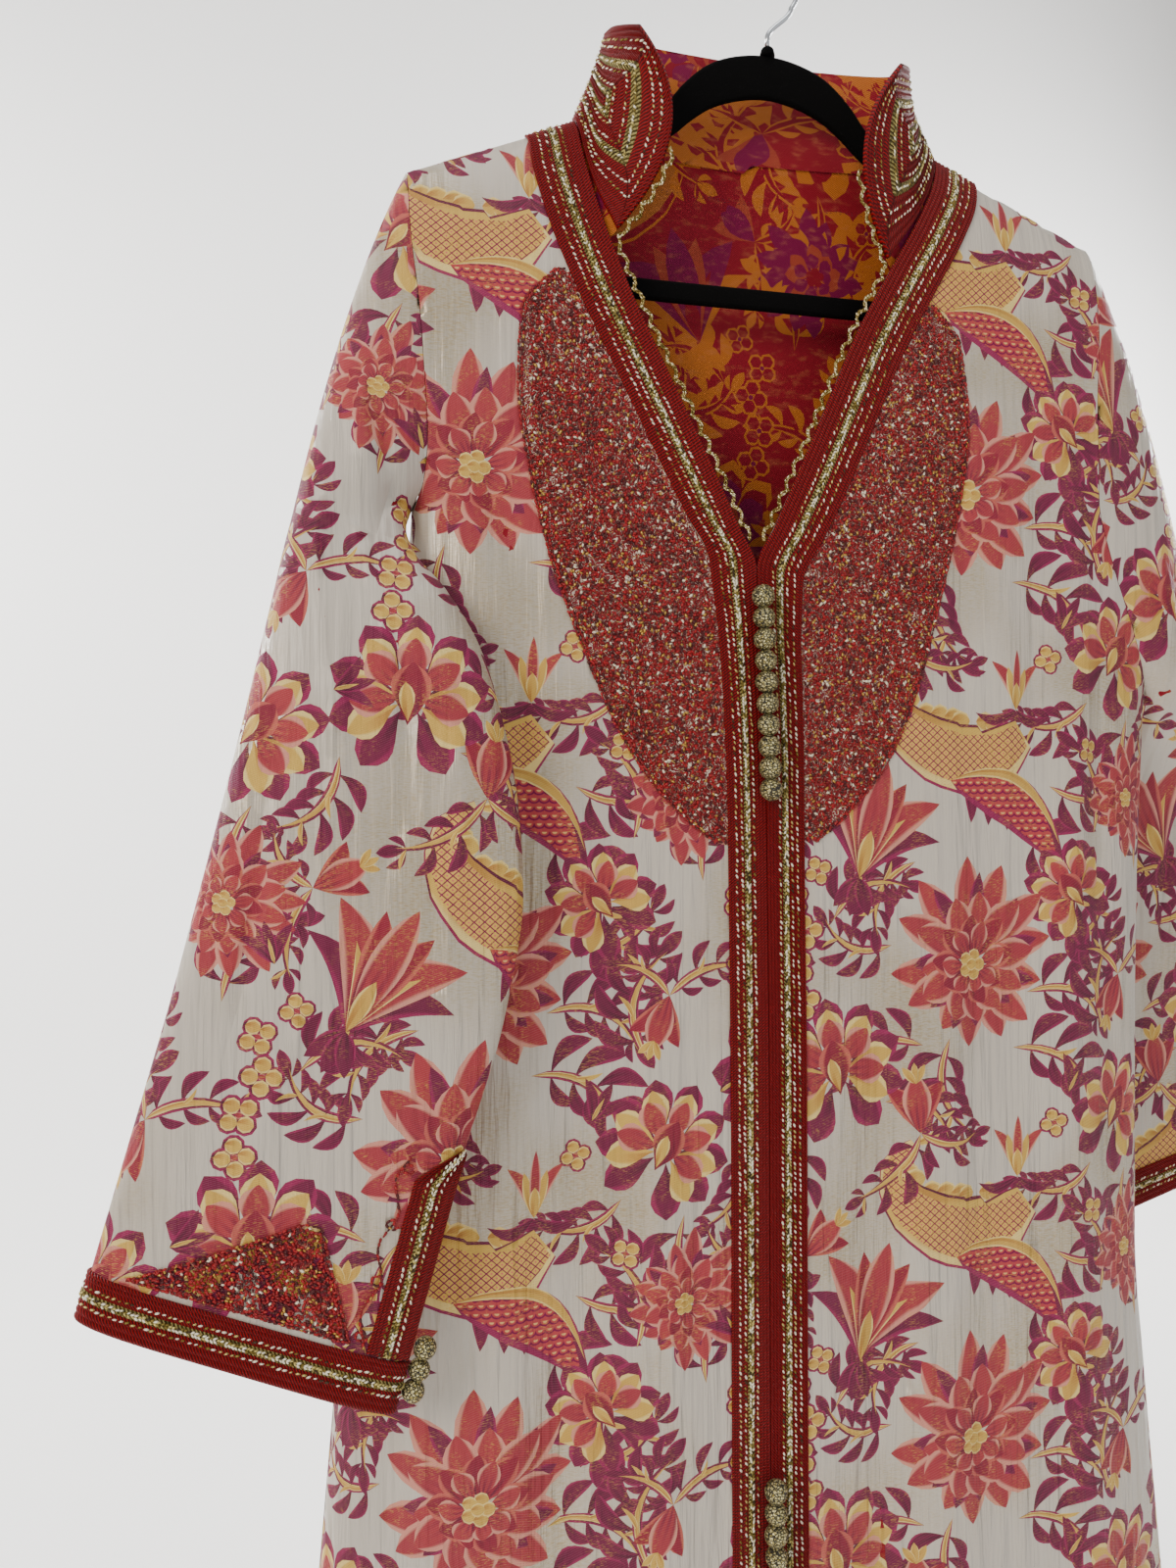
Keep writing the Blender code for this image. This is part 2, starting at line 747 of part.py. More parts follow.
def sleeve_sheet(side):
    """The sleeve as rows that start and end at its inner edge.

    The first row is the top fold, where the two layers join. The rows down to the underarm
    are open at the armhole, and the rows below the slit's top are open along the slit.
    """
    swing = swing_of(side)
    columns = [(w, 1) for w in reversed(SLEEVE_ACROSS)] + [(w, -1) for w in SLEEVE_ACROSS[1:]]
    grid = [[head_point(side, part, w, layer) for w, layer in columns] for part in HEAD_PARTS]
    closed = [False] * len(HEAD_PARTS)
    for part in TUBE_PARTS:
        line = [tube_point(side, part, w, layer) for w, layer in columns]
        is_open = part > SLIT_TOP
        if is_open:
            line[0].y += swing * SLIT_HALF_OPENING
            line[-1].y -= swing * SLIT_HALF_OPENING
        grid.append(line)
        closed.append(not is_open)
    sheet = Sheet(grid, None, closed, zipped=True)
    outermost = len(SLEEVE_ACROSS) - 1
    for j, normal in enumerate(sheet.normals[0]):
        sheet.normals[0][j] = Vector((normal.x, 0, normal.z)).normalized()
    sheet.normals[0][outermost] = sheet.normals[0][outermost - 1]
    match_armhole(sheet, side, swing, 0)
    match_armhole(sheet, side, -swing, -1)
    underarm = Vector((-side * 0.25, 0, -1)).normalized()
    sheet.normals[len(HEAD_PARTS)][0] = underarm
    sheet.normals[len(HEAD_PARTS)][-1] = underarm
    for i, is_closed in enumerate(closed):
        if i >= len(HEAD_PARTS) and not is_closed:
            for j in (0, -1):
                normal = sheet.normals[i][j]
                sheet.normals[i][j] = Vector((normal.x, 0, normal.z)).normalized()
    return sheet


def sleeve_row(part):
    return len(HEAD_PARTS) + index_of(TUBE_PARTS, part)


def sleeve_column(across):
    """Column of a place across the upper layer."""
    return len(SLEEVE_ACROSS) - 1 - index_of(SLEEVE_ACROSS, across)


def medallion_places(rows=7, columns=9):
    """Rows and columns of the triangular medallion above the cuff band."""
    places = []
    for i in range(rows):
        up = i / (rows - 1)
        part = blend(CUFF_TOP - 0.006, 0.872, up)
        start = blend(0.11, 0.57, up)
        end = blend(0.80, 0.62, up)
        places.append([(sleeve_row(part), sleeve_column(blend(start, end, j / (columns - 1))))
                       for j in range(columns)])
    return places


def slit_places():
    """Rows and columns of the slit band, from the cuff band up to the end of the slit."""
    return [[(sleeve_row(part), sleeve_column(across)) for across in (1.0, 0.95, SLIT_BAND_EDGE)]
            for part in SLIT_BAND_PARTS]


def plastron_places(side, edges):
    """Rows and columns of the plastron on a front panel, from the band to its outer edge."""
    inner_z = [z_in for (_, z_in), _ in edges]
    rising = [-z for z in inner_z]
    places = []
    for i in range(PLASTRON_ROWS):
        z = blend(PLASTRON[0].z, PLASTRON[-1].z, i / (PLASTRON_ROWS - 1))
        row = index_of(rising, -z)
        near = edges[int(row)]
        far = edges[min(int(row) + 1, len(edges) - 1)]
        t = row - int(row)
        x_in = blend(near[0][0], far[0][0], t)
        x_out = blend(near[1][0], far[1][0], t)
        width = abs(x_out - x_in)
        band = read(BAND, z, "width") / width
        across = [0.0, band / 2, band] + [band + (1 - band) * w for w in FRONT_COLUMNS]
        start = band + 1.0 / width
        reach = read(PLASTRON, z, "reach") - abs(x_in - centre_x(z))
        end = max(reach / width, start + 4.0 / width)
        line = []
        for j in range(PLASTRON_COLUMNS):
            w = blend(start, end, j / (PLASTRON_COLUMNS - 1))
            line.append((row, index_of(across, w)))
        places.append(line)
    return places


# Collar

def neckline_point(part):
    """Point of the neckline: 0 at the middle of the back, 1 at the collar's front end."""
    side = RIGHT if part < 0 else LEFT
    part = abs(part)
    neck_x, neck_z = neck_side(side)
    if part <= COLLAR_SIDE:
        along = math.sin(part / COLLAR_SIDE * math.pi / 2)
        x = blend(centre_x(neck_z), neck_x, along)
        z = blend(neck_z - BACK_NECK_DROP, neck_z, along ** 4)
        return body_point(BACK, x, z)
    down = (part - COLLAR_SIDE) / (1 - COLLAR_SIDE)
    z = blend(neck_z, COLLAR_END_Z, down)
    return body_point(FRONT, vee_x(side, z), z)


def collar_point(part, up):
    """Point of the collar, from the neckline up to its crown."""
    side = RIGHT if part < 0 else LEFT
    base = neckline_point(part)
    amount = abs(part)
    crown = Vector((centre_x(-70) + side * read(CROWN, amount, "x"),
                    read(CROWN, amount, "y"), read(CROWN, amount, "z")))
    point = base.lerp(crown, up)
    flare = smooth((amount - COLLAR_FLARE_START) / (1 - COLLAR_FLARE_START))
    belly = 4 * up * (1 - up) * flare ** 2
    point.x -= side * COLLAR_FLARE_IN * belly
    point.y -= COLLAR_FLARE_OUT * belly
    return point


def collar_sheet():
    """The collar stands a little inside the neckline, so that it clears the panels."""
    foot = 0.035
    grid = []
    for j in range(COLLAR_UP + 1):
        up = foot + (1 - foot) * j / COLLAR_UP
        grid.append([collar_point(2 * i / COLLAR_ALONG - 1, up) for i in range(COLLAR_ALONG + 1)])
    sheet = Sheet(grid, None)
    return sheet


def back_band_sheet(columns=25, width=30.0):
    """Braid band round the back of the neck, below the collar."""
    grid = [[], [], []]
    for i in range(columns):
        part = COLLAR_SIDE * 0.985 * (2 * i / (columns - 1) - 1)
        point = neckline_point(part)
        side = RIGHT if part < 0 else LEFT
        turn = math.sin(abs(part) / COLLAR_SIDE * math.pi / 2) ** 3
        away = Vector((side * turn, 0, -blend(1.0, SHOULDER_SLOPE + 0.12, turn))).normalized()
        for n in range(3):
            x = point.x + away.x * width * n / 2
            z = point.z + away.z * width * n / 2
            grid[n].append(body_point(BACK, x, z))
    sheet = Sheet(grid, Vector((0, BACK, 0.4)))
    return sheet


# Turned and swept pieces

def tube(name, path, radii, finish, sides=8, up=Vector((0, 1, 0))):
    """Closed tube along a path, with a radius for each point."""
    rings = []
    last = len(path) - 1
    for i, point in enumerate(path):
        along = (path[min(i + 1, last)] - path[max(i - 1, 0)]).normalized()
        across = along.cross(up).normalized()
        other = across.cross(along).normalized()
        ring = []
        for k in range(sides):
            angle = 2 * math.pi * k / sides
            ring.append(point + (across * math.cos(angle) + other * math.sin(angle)) * radii[i])
        rings.append(ring)
    vertices = [v for ring in rings for v in ring]
    faces = []
    for i in range(last):
        for k in range(sides):
            a = i * sides + k
            b = i * sides + (k + 1) % sides
            faces.append((a, b, b + sides))
            faces.append((a, b + sides, a + sides))
    for end, first in ((0, 0), (last, last * sides)):
        for k in range(1, sides - 1):
            cap = (first, first + k + 1, first + k)
            faces.append(cap if end == 0 else cap[::-1])
    return add_object(name, vertices, faces, finish)


def ball_row(name, start, direction, count, diameter, pitch):
    """Thread balls that touch in a row, turned about the row's own line."""
    radius = diameter / 2
    path = []
    radii = []
    waist = math.sqrt(radius ** 2 - (pitch / 2) ** 2)
    for n in range(count):
        middle = start + direction * pitch * n
        first = -radius * 0.94 if n == 0 else -pitch / 2
        for stop in (first, -radius * 0.62, 0.0, radius * 0.62):
            path.append(middle + direction * stop)
            radii.append(waist if stop == -pitch / 2 else math.sqrt(radius ** 2 - stop ** 2))
    path.append(start + direction * (pitch * (count - 1) + radius * 0.94))
    radii.append(math.sqrt(radius ** 2 - (radius * 0.94) ** 2))
    return tube(name, path, radii, "gold_thread", 10, Vector((0, 1, 0.01)))


def picot_path(side):
    """Waved cord: up the V, then up the collar's front edge to the widest of its flare."""
    stations = []
    z = -386.0
    while z < COLLAR_END_Z - 4:
        edge = body_point(FRONT, vee_x(side, z), z)
        stations.append(edge)
        z += 3.0
    for n in range(18):
        up = 0.05 + 0.37 * n / 17
        stations.append(collar_point(side * 1.0, up))
    lengths = [0.0]
    for a, b in zip(stations, stations[1:]):
        lengths.append(lengths[-1] + (b - a).length)
    steps = int(lengths[-1] / (PICOT_PITCH / 3))
    path = []
    for n in range(steps + 1):
        target = lengths[-1] * n / steps
        place = index_of(lengths, target)
        i = min(int(place), len(stations) - 2)
        point = stations[i].lerp(stations[i + 1], place - i)
        along = (stations[min(i + 2, len(stations) - 1)] - stations[max(i - 1, 0)]).normalized()
        inward = Vector((-side * abs(along.z), 0, side * along.x * (1 if along.z > 0 else -1)))
        if inward.x * side > 0:
            inward = -inward
        clear = PICOT_RADIUS + PICOT_WAVE + PICOT_CLEARANCE
        wave = PICOT_WAVE * math.sin(2 * math.pi * target / PICOT_PITCH)
        shifted = point + inward.normalized() * (clear + wave)
        shifted.y -= 0.6
        path.append(shifted)
    return path


# Hanger

def hanger_ring():
    """Outer and inner outline points all round the hanger."""
    half = [(Vector((r.out_x, 0, r.out_z)), Vector((r.in_x, 0, r.in_z))) for r in HANGER]
    other = [(Vector((-o.x, 0, o.z)), Vector((-i.x, 0, i.z))) for o, i in reversed(half[1:-1])]
    return half + other


def build_hanger():
    """One flat flocked frame with softened edges."""
    t = HANGER_THICK / 2
    vertices = []
    ring = hanger_ring()
    for outer, inner in ring:
        across = (inner - outer).normalized()
        for place, y in (
                (outer, -(t - HANGER_EDGE)), (outer + across * HANGER_EDGE, -t),
                (inner - across * HANGER_EDGE, -t), (inner, -(t - HANGER_EDGE)),
                (inner, t - HANGER_EDGE), (inner - across * HANGER_EDGE, t),
                (outer + across * HANGER_EDGE, t), (outer, t - HANGER_EDGE)):
            vertices.append(Vector((place.x, y, place.z)))
    faces = []
    count = len(ring)
    for i in range(count):
        n = (i + 1) % count
        for k in range(8):
            m = (k + 1) % 8
            a, b, c, d = i * 8 + k, i * 8 + m, n * 8 + m, n * 8 + k
            faces.append((a, b, c))
            faces.append((a, c, d))
    add_object("hanger", vertices, faces, "velvet", 0.6)


def build_nub():
    """Small collar at the top of the hanger, round the foot of the hook."""
    base = HANGER[0].out_z + GAP
    path = [Vector((0, 0, z)) for z in (base, NUB_TOP_Z - 1.5, NUB_TOP_Z)]
    tube("hook_socket", path, [NUB_RADIUS, NUB_RADIUS - 0.8, NUB_RADIUS - 1.8], "velvet", 12)


def build_hook():
    """Wire hook: a neck, a bend out to one side, and an open round crook."""
    radius = CROOK_RADIUS
    wire = HOOK_WIRE / 2
    middle = Vector((0, 0, wire - radius))
    path = [Vector((0, 0, NUB_TOP_Z + GAP)), Vector((0, 0, -54))]
    start = math.radians(-38)
    end = math.radians(205)
    first = middle + Vector((math.cos(start), 0, math.sin(start))) * radius
    for n in range(1, 5):
        t = n / 5
        path.append(Vector((first.x * smooth(t), 0, blend(-54, first.z, t))))
    turns = 20
    for n in range(turns + 1):
        angle = blend(start, end, n / turns)
        path.append(middle + Vector((math.cos(angle), 0, math.sin(angle))) * radius)
    radii = [wire] * len(path)
    tube("hook", path, radii, "steel", 8)


def build():
    clear_scene()
    back = back_sheet()
    back.wall("back", -CLOTH, 0, "brocade")
    for side in (RIGHT, LEFT):
        name = side_name(side)
        front = front_sheet(side)
        front.wall("front_" + name, -CLOTH, 0, "brocade")
        front.part((0, len(front.grid)), slice(0, 3)).wall(
            "front_band_" + name, GAP, GAP + BRAID, "braid")
        patch(front, plastron_places(side, panel_edges(side))).wall(
            "plastron_" + name, STITCH_GAP, STITCH_GAP + STITCH, "embroidery")

        sleeve = sleeve_sheet(side)
        sleeve.wall("sleeve_" + name, -CLOTH, 0, "brocade")
        rows = len(sleeve.grid)
        cuff = sleeve.part((rows - 2, rows), slice(0, None))
        cuff.wall("cuff_band_" + name, GAP, GAP + BRAID, "braid")
        patch(sleeve, slit_places()).wall(
            "slit_band_" + name, GAP + 0.1, GAP + BRAID, "braid")
        patch(sleeve, medallion_places()).wall(
            "medallion_" + name, STITCH_GAP, STITCH_GAP + STITCH, "embroidery")

        path = picot_path(side)
        tube("picot_" + name, path, [PICOT_RADIUS] * len(path), "gold_thread", 4)

        low = sleeve.grid[-1][0]
        high = sleeve.grid[rows - 3][0]
        up = (high - low).normalized()
        inward = Vector((-side * abs(up.z), 0, 0))
        swing = FRONT if side == RIGHT else BACK
        start = low + up * 10 + inward * (CUFF_BALL / 2 + BRAID + 1.0)
        start.y = low.y - swing * SLIT_HALF_OPENING
        ball_row("cuff_buttons_" + name, start, up, CUFF_BALL_COUNT, CUFF_BALL, CUFF_BALL_PITCH)

    collar_sheet().wall("collar", -COLLAR_WALL / 2, COLLAR_WALL / 2, "braid")
    back_band_sheet().wall("back_neck_band", STITCH_GAP, STITCH_GAP + BRAID, "braid")

    for name, top in (("chest_buttons", CHEST_TOP_Z), ("lower_buttons", LOWER_TOP_Z)):
        x = centre_x(top)
        bottom = top - CHEST_PITCH * (BALL_COUNT - 1)
        stand_off = BRAID + GAP + BALL / 2 + 0.6
        start = Vector((x, body_y(FRONT, x, top) - stand_off, top))
        end_x = centre_x(bottom)
        end = Vector((end_x, body_y(FRONT, end_x, bottom) - stand_off, bottom))
        ball_row(name, start, (end - start).normalized(), BALL_COUNT, BALL, CHEST_PITCH)

    build_hanger()
    build_nub()
    build_hook()


build()
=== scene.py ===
"""Looks of a long brocade kaftan on a slim hanger.

Sizes are in millimetres and turned into metres when a mesh is made. X is the viewer's
right, -Y the front, +Z up. "right" and "left" are the wearer's.
"""

import math
import random
from collections import namedtuple

import bpy
import numpy as np
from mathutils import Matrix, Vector
from mathutils.geometry import delaunay_2d_cdt


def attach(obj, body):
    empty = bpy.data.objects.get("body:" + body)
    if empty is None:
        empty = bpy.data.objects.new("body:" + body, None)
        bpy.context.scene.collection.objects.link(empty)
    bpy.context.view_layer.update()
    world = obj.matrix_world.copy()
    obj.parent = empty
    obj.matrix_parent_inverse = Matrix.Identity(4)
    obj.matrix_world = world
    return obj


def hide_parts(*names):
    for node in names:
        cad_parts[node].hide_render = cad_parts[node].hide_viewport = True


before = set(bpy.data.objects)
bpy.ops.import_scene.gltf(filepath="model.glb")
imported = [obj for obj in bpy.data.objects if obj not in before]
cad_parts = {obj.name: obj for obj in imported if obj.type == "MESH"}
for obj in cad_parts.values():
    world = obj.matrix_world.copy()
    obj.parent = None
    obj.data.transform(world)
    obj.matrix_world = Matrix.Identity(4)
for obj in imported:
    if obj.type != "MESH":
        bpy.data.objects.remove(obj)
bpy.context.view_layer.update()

MM = 0.001
RIGHT = -1
LEFT = 1
FRONT = -1
BACK = 1

# Form of the garment, as in the solid part
SEAM = 0.15
GAP = 0.3
BRAID = 1.6
HEM_Z = -1530.0
TIP_X = 232.0
TIP_Z = -168.0
SHOULDER_SLOPE = 0.41
HEAD_FALL = 1.9
HEAD_CURVE_RIGHT = 0.0195
HEAD_CURVE_LEFT = 0.0085
SHOULDER_ROLL = 3.1
SIDE_SQUARENESS = 6
BACK_NECK_DROP = 5.0

Level = namedtuple("Level", "z centre side_right side_left front back")
LEVELS = (
    Level(-57, -8, 400, 400, 26, 34),
    Level(-125, -7, 400, 400, 26, 34),
    Level(-168, -12, 400, 400, 26, 32),
    Level(-205, -17, 400, 400, 26, 30),
    Level(-250, -20, 400, 400, 26, 29),
    Level(-300, -19, 310, 380, 27, 28),
    Level(-332, -18.5, 258, 345, 28, 28),
    Level(-356, -18, 238, 322, 28, 28),
    Level(-372, -18, 229, 310, 28, 28),
    Level(-400, -18, 231, 295, 28, 28),
    Level(-432, -17, 236, 284, 29, 28),
    Level(-473, -15, 243, 279, 30, 28),
    Level(-530, -13, 251, 276, 30, 28),
    Level(-600, -12.5, 258, 273, 31, 29),
    Level(-720, -12, 266, 271, 33, 30),
    Level(-845, -12, 271, 271, 34, 31),
    Level(-950, -12, 279, 279, 35, 32),
    Level(-1074, -12, 290, 291, 37, 33),
    Level(-1300, -12, 312, 313, 40, 36),
    Level(-1530, -12, 334, 335, 44, 40),
)

Vee = namedtuple("Vee", "z half")
VEE = (
    Vee(-110, 124),
    Vee(-125, 122),
    Vee(-145, 118),
    Vee(-170, 109),
    Vee(-205, 93),
    Vee(-253, 69.5),
    Vee(-298, 48.5),
    Vee(-331, 33),
    Vee(-375, 12.5),
    Vee(-403, SEAM),
    Vee(-430, SEAM),
)

Armhole = namedtuple("Armhole", "part x_right z_right x_left z_left")
ARMHOLE = (
    Armhole(0.00, 232, -168, 232, -168),
    Armhole(0.20, 231, -206, 232, -222),
    Armhole(0.45, 226, -254, 228, -290),
    Armhole(0.65, 223, -298, 228, -345),
    Armhole(0.80, 221, -332, 240, -388),
    Armhole(0.92, 223, -357, 260, -432),
    Armhole(1.00, 229, -372, 279, -473),
)

Band = namedtuple("Band", "z width")
BAND = (
    Band(-110, 30),
    Band(-205, 33),
    Band(-344, 34.5),
    Band(-400, 31),
    Band(-450, 27),
    Band(-600, 25),
    Band(-1600, 25),
)

Plastron = namedtuple("Plastron", "z reach")
PLASTRON = (
    Plastron(-226, 126),
    Plastron(-250, 145),
    Plastron(-300, 149),
    Plastron(-350, 143),
    Plastron(-400, 131),
    Plastron(-450, 115),
    Plastron(-495, 98),
    Plastron(-530, 78),
    Plastron(-560, 50),
    Plastron(-572, 34),
)

Fold = namedtuple("Fold", "face x_top z_top x_hem width height")
FOLDS = (
    Fold(FRONT, -74, -640, -92, 26, 5.0),
    Fold(FRONT, -128, -560, -152, 24, -4.0),
    Fold(FRONT, -184, -620, -212, 26, 5.5),
    Fold(FRONT, -228, -760, -270, 22, -4.0),
    Fold(FRONT, 62, -600, 74, 22, -3.5),
    Fold(FRONT, 104, -470, 122, 24, 4.5),
    Fold(FRONT, 152, -430, 178, 24, -3.5),
    Fold(FRONT, 198, -480, 232, 24, 5.0),
    Fold(FRONT, 236, -640, 284, 22, -3.5),
    Fold(BACK, -190, -520, -226, 30, 5.0),
    Fold(BACK, -118, -420, -142, 28, -4.0),
    Fold(BACK, -44, -560, -54, 30, 5.5),
    Fold(BACK, 36, -470, 44, 28, -4.0),
    Fold(BACK, 112, -540, 134, 30, 5.0),
    Fold(BACK, 192, -480, 228, 28, -4.0),
)
FOLD_FADE = 160.0

Section = namedtuple("Section", "part out_x out_y out_z in_x in_y in_z upper under")
SLEEVE_RIGHT = (
    Section(0.00, 299, 22, -383, 229, 0, -372, 22, 22),
    Section(0.06, 304, 27, -404, 233, 9, -386, 22, 18),
    Section(0.12, 309, 32, -428, 229, 23, -402, 21, 15),
    Section(0.19, 315, 38, -455, 213, 37, -424, 20, 12),
    Section(0.27, 322, 43, -487, 195, 46, -456, 18, 10),
    Section(0.36, 330, 48, -522, 183, 52, -496, 16, 10),
    Section(0.46, 341, 52, -568, 174, 56, -545, 15, 10),
    Section(0.57, 352, 55, -612, 171, 58, -598, 14, 11),
    Section(0.68, 362, 58, -652, 182, 60, -668, 13, 11),
    Section(0.80, 374, 59, -695, 207, 60, -749, 13, 11),
    Section(0.90, 391, 60, -755, 226, 60, -816, 12, 10),
    Section(1.00, 408, 60, -815, 245, 60, -883, 11, 9),
)
SLEEVE_LEFT = (
    Section(0.00, 338, 16, -465, 279, 0, -473, 22, 22),
    Section(0.06, 343, 21, -487, 284, 9, -487, 21, 18),
    Section(0.12, 348, 27, -510, 281, 23, -505, 20, 16),
    Section(0.19, 352, 33, -533, 270, 35, -528, 19, 14),
    Section(0.27, 356, 38, -557, 258, 44, -556, 18, 12),
    Section(0.36, 361, 43, -583, 247, 50, -590, 17, 12),
    Section(0.46, 366, 47, -611, 237, 54, -630, 16, 12),
    Section(0.57, 371, 51, -642, 229, 56, -672, 15, 12),
    Section(0.68, 376, 54, -674, 224, 57, -708, 14, 12),
    Section(0.80, 381, 56, -706, 223, 58, -744, 13, 11),
    Section(0.90, 394.5, 58, -764, 236.5, 58, -807, 12, 10),
    Section(1.00, 408, 58, -822, 250, 58, -870, 11, 9),
)
HEAD_START_X = 241.0
SLIT_TOP = 0.80
CUFF_TOP = 0.9585
SLIT_BAND_EDGE = 0.86
SLIT_HALF_OPENING = 0.9
SLEEVE_SQUARENESS = 5

Crown = namedtuple("Crown", "part x y z")
CROWN = (
    Crown(0.00, 0, 27, -57),
    Crown(0.30, 60, 22, -58),
    Crown(0.50, 90, 11, -62),
    Crown(0.62, 99, 0, -66),
    Crown(0.75, 99, -12, -70),
    Crown(0.88, 95, -23, -74),
    Crown(1.00, 87, -31, -77),
)
COLLAR_SIDE = 0.55
COLLAR_END_Z = -203.0
COLLAR_FLARE_START = 0.74
COLLAR_FLARE_IN = 27.0
COLLAR_FLARE_OUT = 9.0
COLLAR_HALF = 1.1

# Small creases laid on the form: both ends, width and height, which is below
# zero for a trough. A crease fades out towards its ends.
Crease = namedtuple("Crease", "face x1 z1 x2 z2 width height")
CREASES = (
    Crease(FRONT, -205, -330, -170, -470, 9, 2.2),
    Crease(FRONT, -196, -300, -150, -560, 8, -2.0),
    Crease(FRONT, -150, -520, -118, -700, 8, 1.6),
    Crease(FRONT, -108, -560, -100, -860, 6, -1.3),
    Crease(FRONT, -168, -640, -176, -1010, 7, 1.5),
    Crease(FRONT, -60, -640, -66, -930, 5, -1.1),
    Crease(FRONT, -136, -800, -146, -1180, 6, -1.4),
    Crease(FRONT, -222, -700, -240, -1100, 8, 1.8),
    Crease(FRONT, -90, -980, -98, -1400, 7, 1.3),
    Crease(FRONT, -200, -1050, -216, -1480, 7, -1.6),
    Crease(FRONT, 118, -300, 128, -520, 6, -1.3),
    Crease(FRONT, 150, -330, 160, -700, 5, 1.4),
    Crease(FRONT, 176, -260, 186, -600, 6, -1.5),
    Crease(FRONT, 206, -300, 214, -640, 6, 1.6),
    Crease(FRONT, 228, -420, 240, -800, 7, -1.6),
    Crease(FRONT, 84, -560, 88, -980, 5, 1.3),
    Crease(FRONT, 126, -620, 136, -1080, 5, -1.4),
    Crease(FRONT, 158, -700, 172, -1300, 6, 1.5),
    Crease(FRONT, 60, -760, 64, -1200, 5, -1.2),
    Crease(FRONT, 190, -820, 210, -1400, 6, -1.4),
    Crease(FRONT, 104, -1000, 112, -1460, 6, 1.3),
    Crease(FRONT, 246, -860, 268, -1460, 7, 1.6),
    Crease(BACK, -176, -300, -158, -620, 8, 1.6),
    Crease(BACK, -96, -420, -90, -900, 7, -1.4),
    Crease(BACK, -20, -330, -14, -760, 7, 1.5),
    Crease(BACK, 60, -360, 70, -860, 6, -1.4),
    Crease(BACK, 130, -320, 150, -700, 8, 1.7),
    Crease(BACK, 206, -520, 222, -1100, 8, -1.6),
    Crease(BACK, -216, -620, -240, -1200, 8, 1.7),
    Crease(BACK, -140, -820, -158, -1420, 7, -1.5),
    Crease(BACK, 20, -860, 26, -1440, 7, 1.4),
    Crease(BACK, 104, -940, 122, -1460, 7, -1.5),
    Crease(BACK, -70, -1000, -78, -1480, 6, 1.3),
)
# The same on the sleeves: places across and down, both from 0 to 1
SleeveCrease = namedtuple("SleeveCrease", "layer w1 s1 w2 s2 width height")
SLEEVE_CREASES = (
    SleeveCrease(1, 0.30, 0.60, 0.72, 1.25, 0.07, 2.2),
    SleeveCrease(1, 0.55, 0.75, 0.86, 1.12, 0.05, -1.9),
    SleeveCrease(1, 0.22, 0.90, 0.42, 1.50, 0.06, 1.8),
    SleeveCrease(1, 0.68, 1.10, 0.55, 1.62, 0.05, -1.6),
    SleeveCrease(1, 0.12, 1.20, 0.20, 1.80, 0.05, -1.4),
    SleeveCrease(1, 0.82, 1.25, 0.76, 1.72, 0.05, 1.6),
    SleeveCrease(1, 0.40, 1.45, 0.36, 1.90, 0.04, 1.3),
    SleeveCrease(-1, 0.35, 0.65, 0.66, 1.20, 0.07, 1.8),
    SleeveCrease(-1, 0.20, 1.00, 0.30, 1.70, 0.06, -1.5),
    SleeveCrease(-1, 0.62, 1.15, 0.58, 1.80, 0.06, 1.6),
    SleeveCrease(-1, 0.80, 1.20, 0.78, 1.60, 0.05, -1.2),
)
CREASE_ENDS = 0.28
CREASE_BREADTH = 1.35
CREASE_DEPTH = 2.1


# Reading tables and the garment's form, for arrays of places

def read(rows, key, column):
    """Smooth values of a column at keys; the table's first column is the key."""
    keys = np.array([row[0] for row in rows], float)
    values = np.array([getattr(row, column) for row in rows], float)
    if keys[0] > keys[-1]:
        keys = keys[::-1]
        values = values[::-1]
    slopes = np.diff(values) / np.diff(keys)
    tangents = np.empty_like(values)
    tangents[0] = slopes[0]
    tangents[-1] = slopes[-1]
    product = slopes[:-1] * slopes[1:]
    total = np.where(product > 0, slopes[:-1] + slopes[1:], 1.0)
    tangents[1:-1] = np.where(product > 0, 2 * product / total, 0.0)
    key = np.clip(np.asarray(key, float), keys[0], keys[-1])
    i = np.clip(np.searchsorted(keys, key, side="right") - 1, 0, len(keys) - 2)
    span = keys[i + 1] - keys[i]
    t = (key - keys[i]) / span
    start = values[i] * (2 * t ** 3 - 3 * t ** 2 + 1) + tangents[i] * span * (t ** 3 - 2 * t ** 2 + t)
    end = values[i + 1] * (3 * t ** 2 - 2 * t ** 3) + tangents[i + 1] * span * (t ** 3 - t ** 2)
    return start + end


def blend(a, b, t):
    return a + (b - a) * t


def smooth(t):
    t = np.clip(t, 0.0, 1.0)
    return t * t * (3 - 2 * t)


def side_name(side):
    return "right" if side == RIGHT else "left"


def centre_x(z):
    return read(LEVELS, z, "centre")


def side_reach(x, z):
    return np.where(x < 0, read(LEVELS, z, "side_right"), read(LEVELS, z, "side_left"))


def shoulder_z(x):
    beyond = np.abs(x) - TIP_X
    curve = np.where(x < 0, HEAD_CURVE_RIGHT, HEAD_CURVE_LEFT)
    outside = TIP_Z - HEAD_FALL * beyond - curve * beyond ** 2
    return np.where(beyond <= 0, TIP_Z - SHOULDER_SLOPE * beyond, outside)


def full_depth(face, z):
    return read(LEVELS, z, "front" if face == FRONT else "back")


def roll_over(face, x, z):
    full = full_depth(face, z)
    drop = np.maximum(0.0, shoulder_z(x) - z)
    return full * np.tanh(SHOULDER_ROLL * np.sqrt(drop) / full)


def side_rounding(x, z):
    across = np.minimum(1.0, np.abs(x) / side_reach(x, z))
    return np.sqrt(np.maximum(0.0, 1 - across ** SIDE_SQUARENESS))


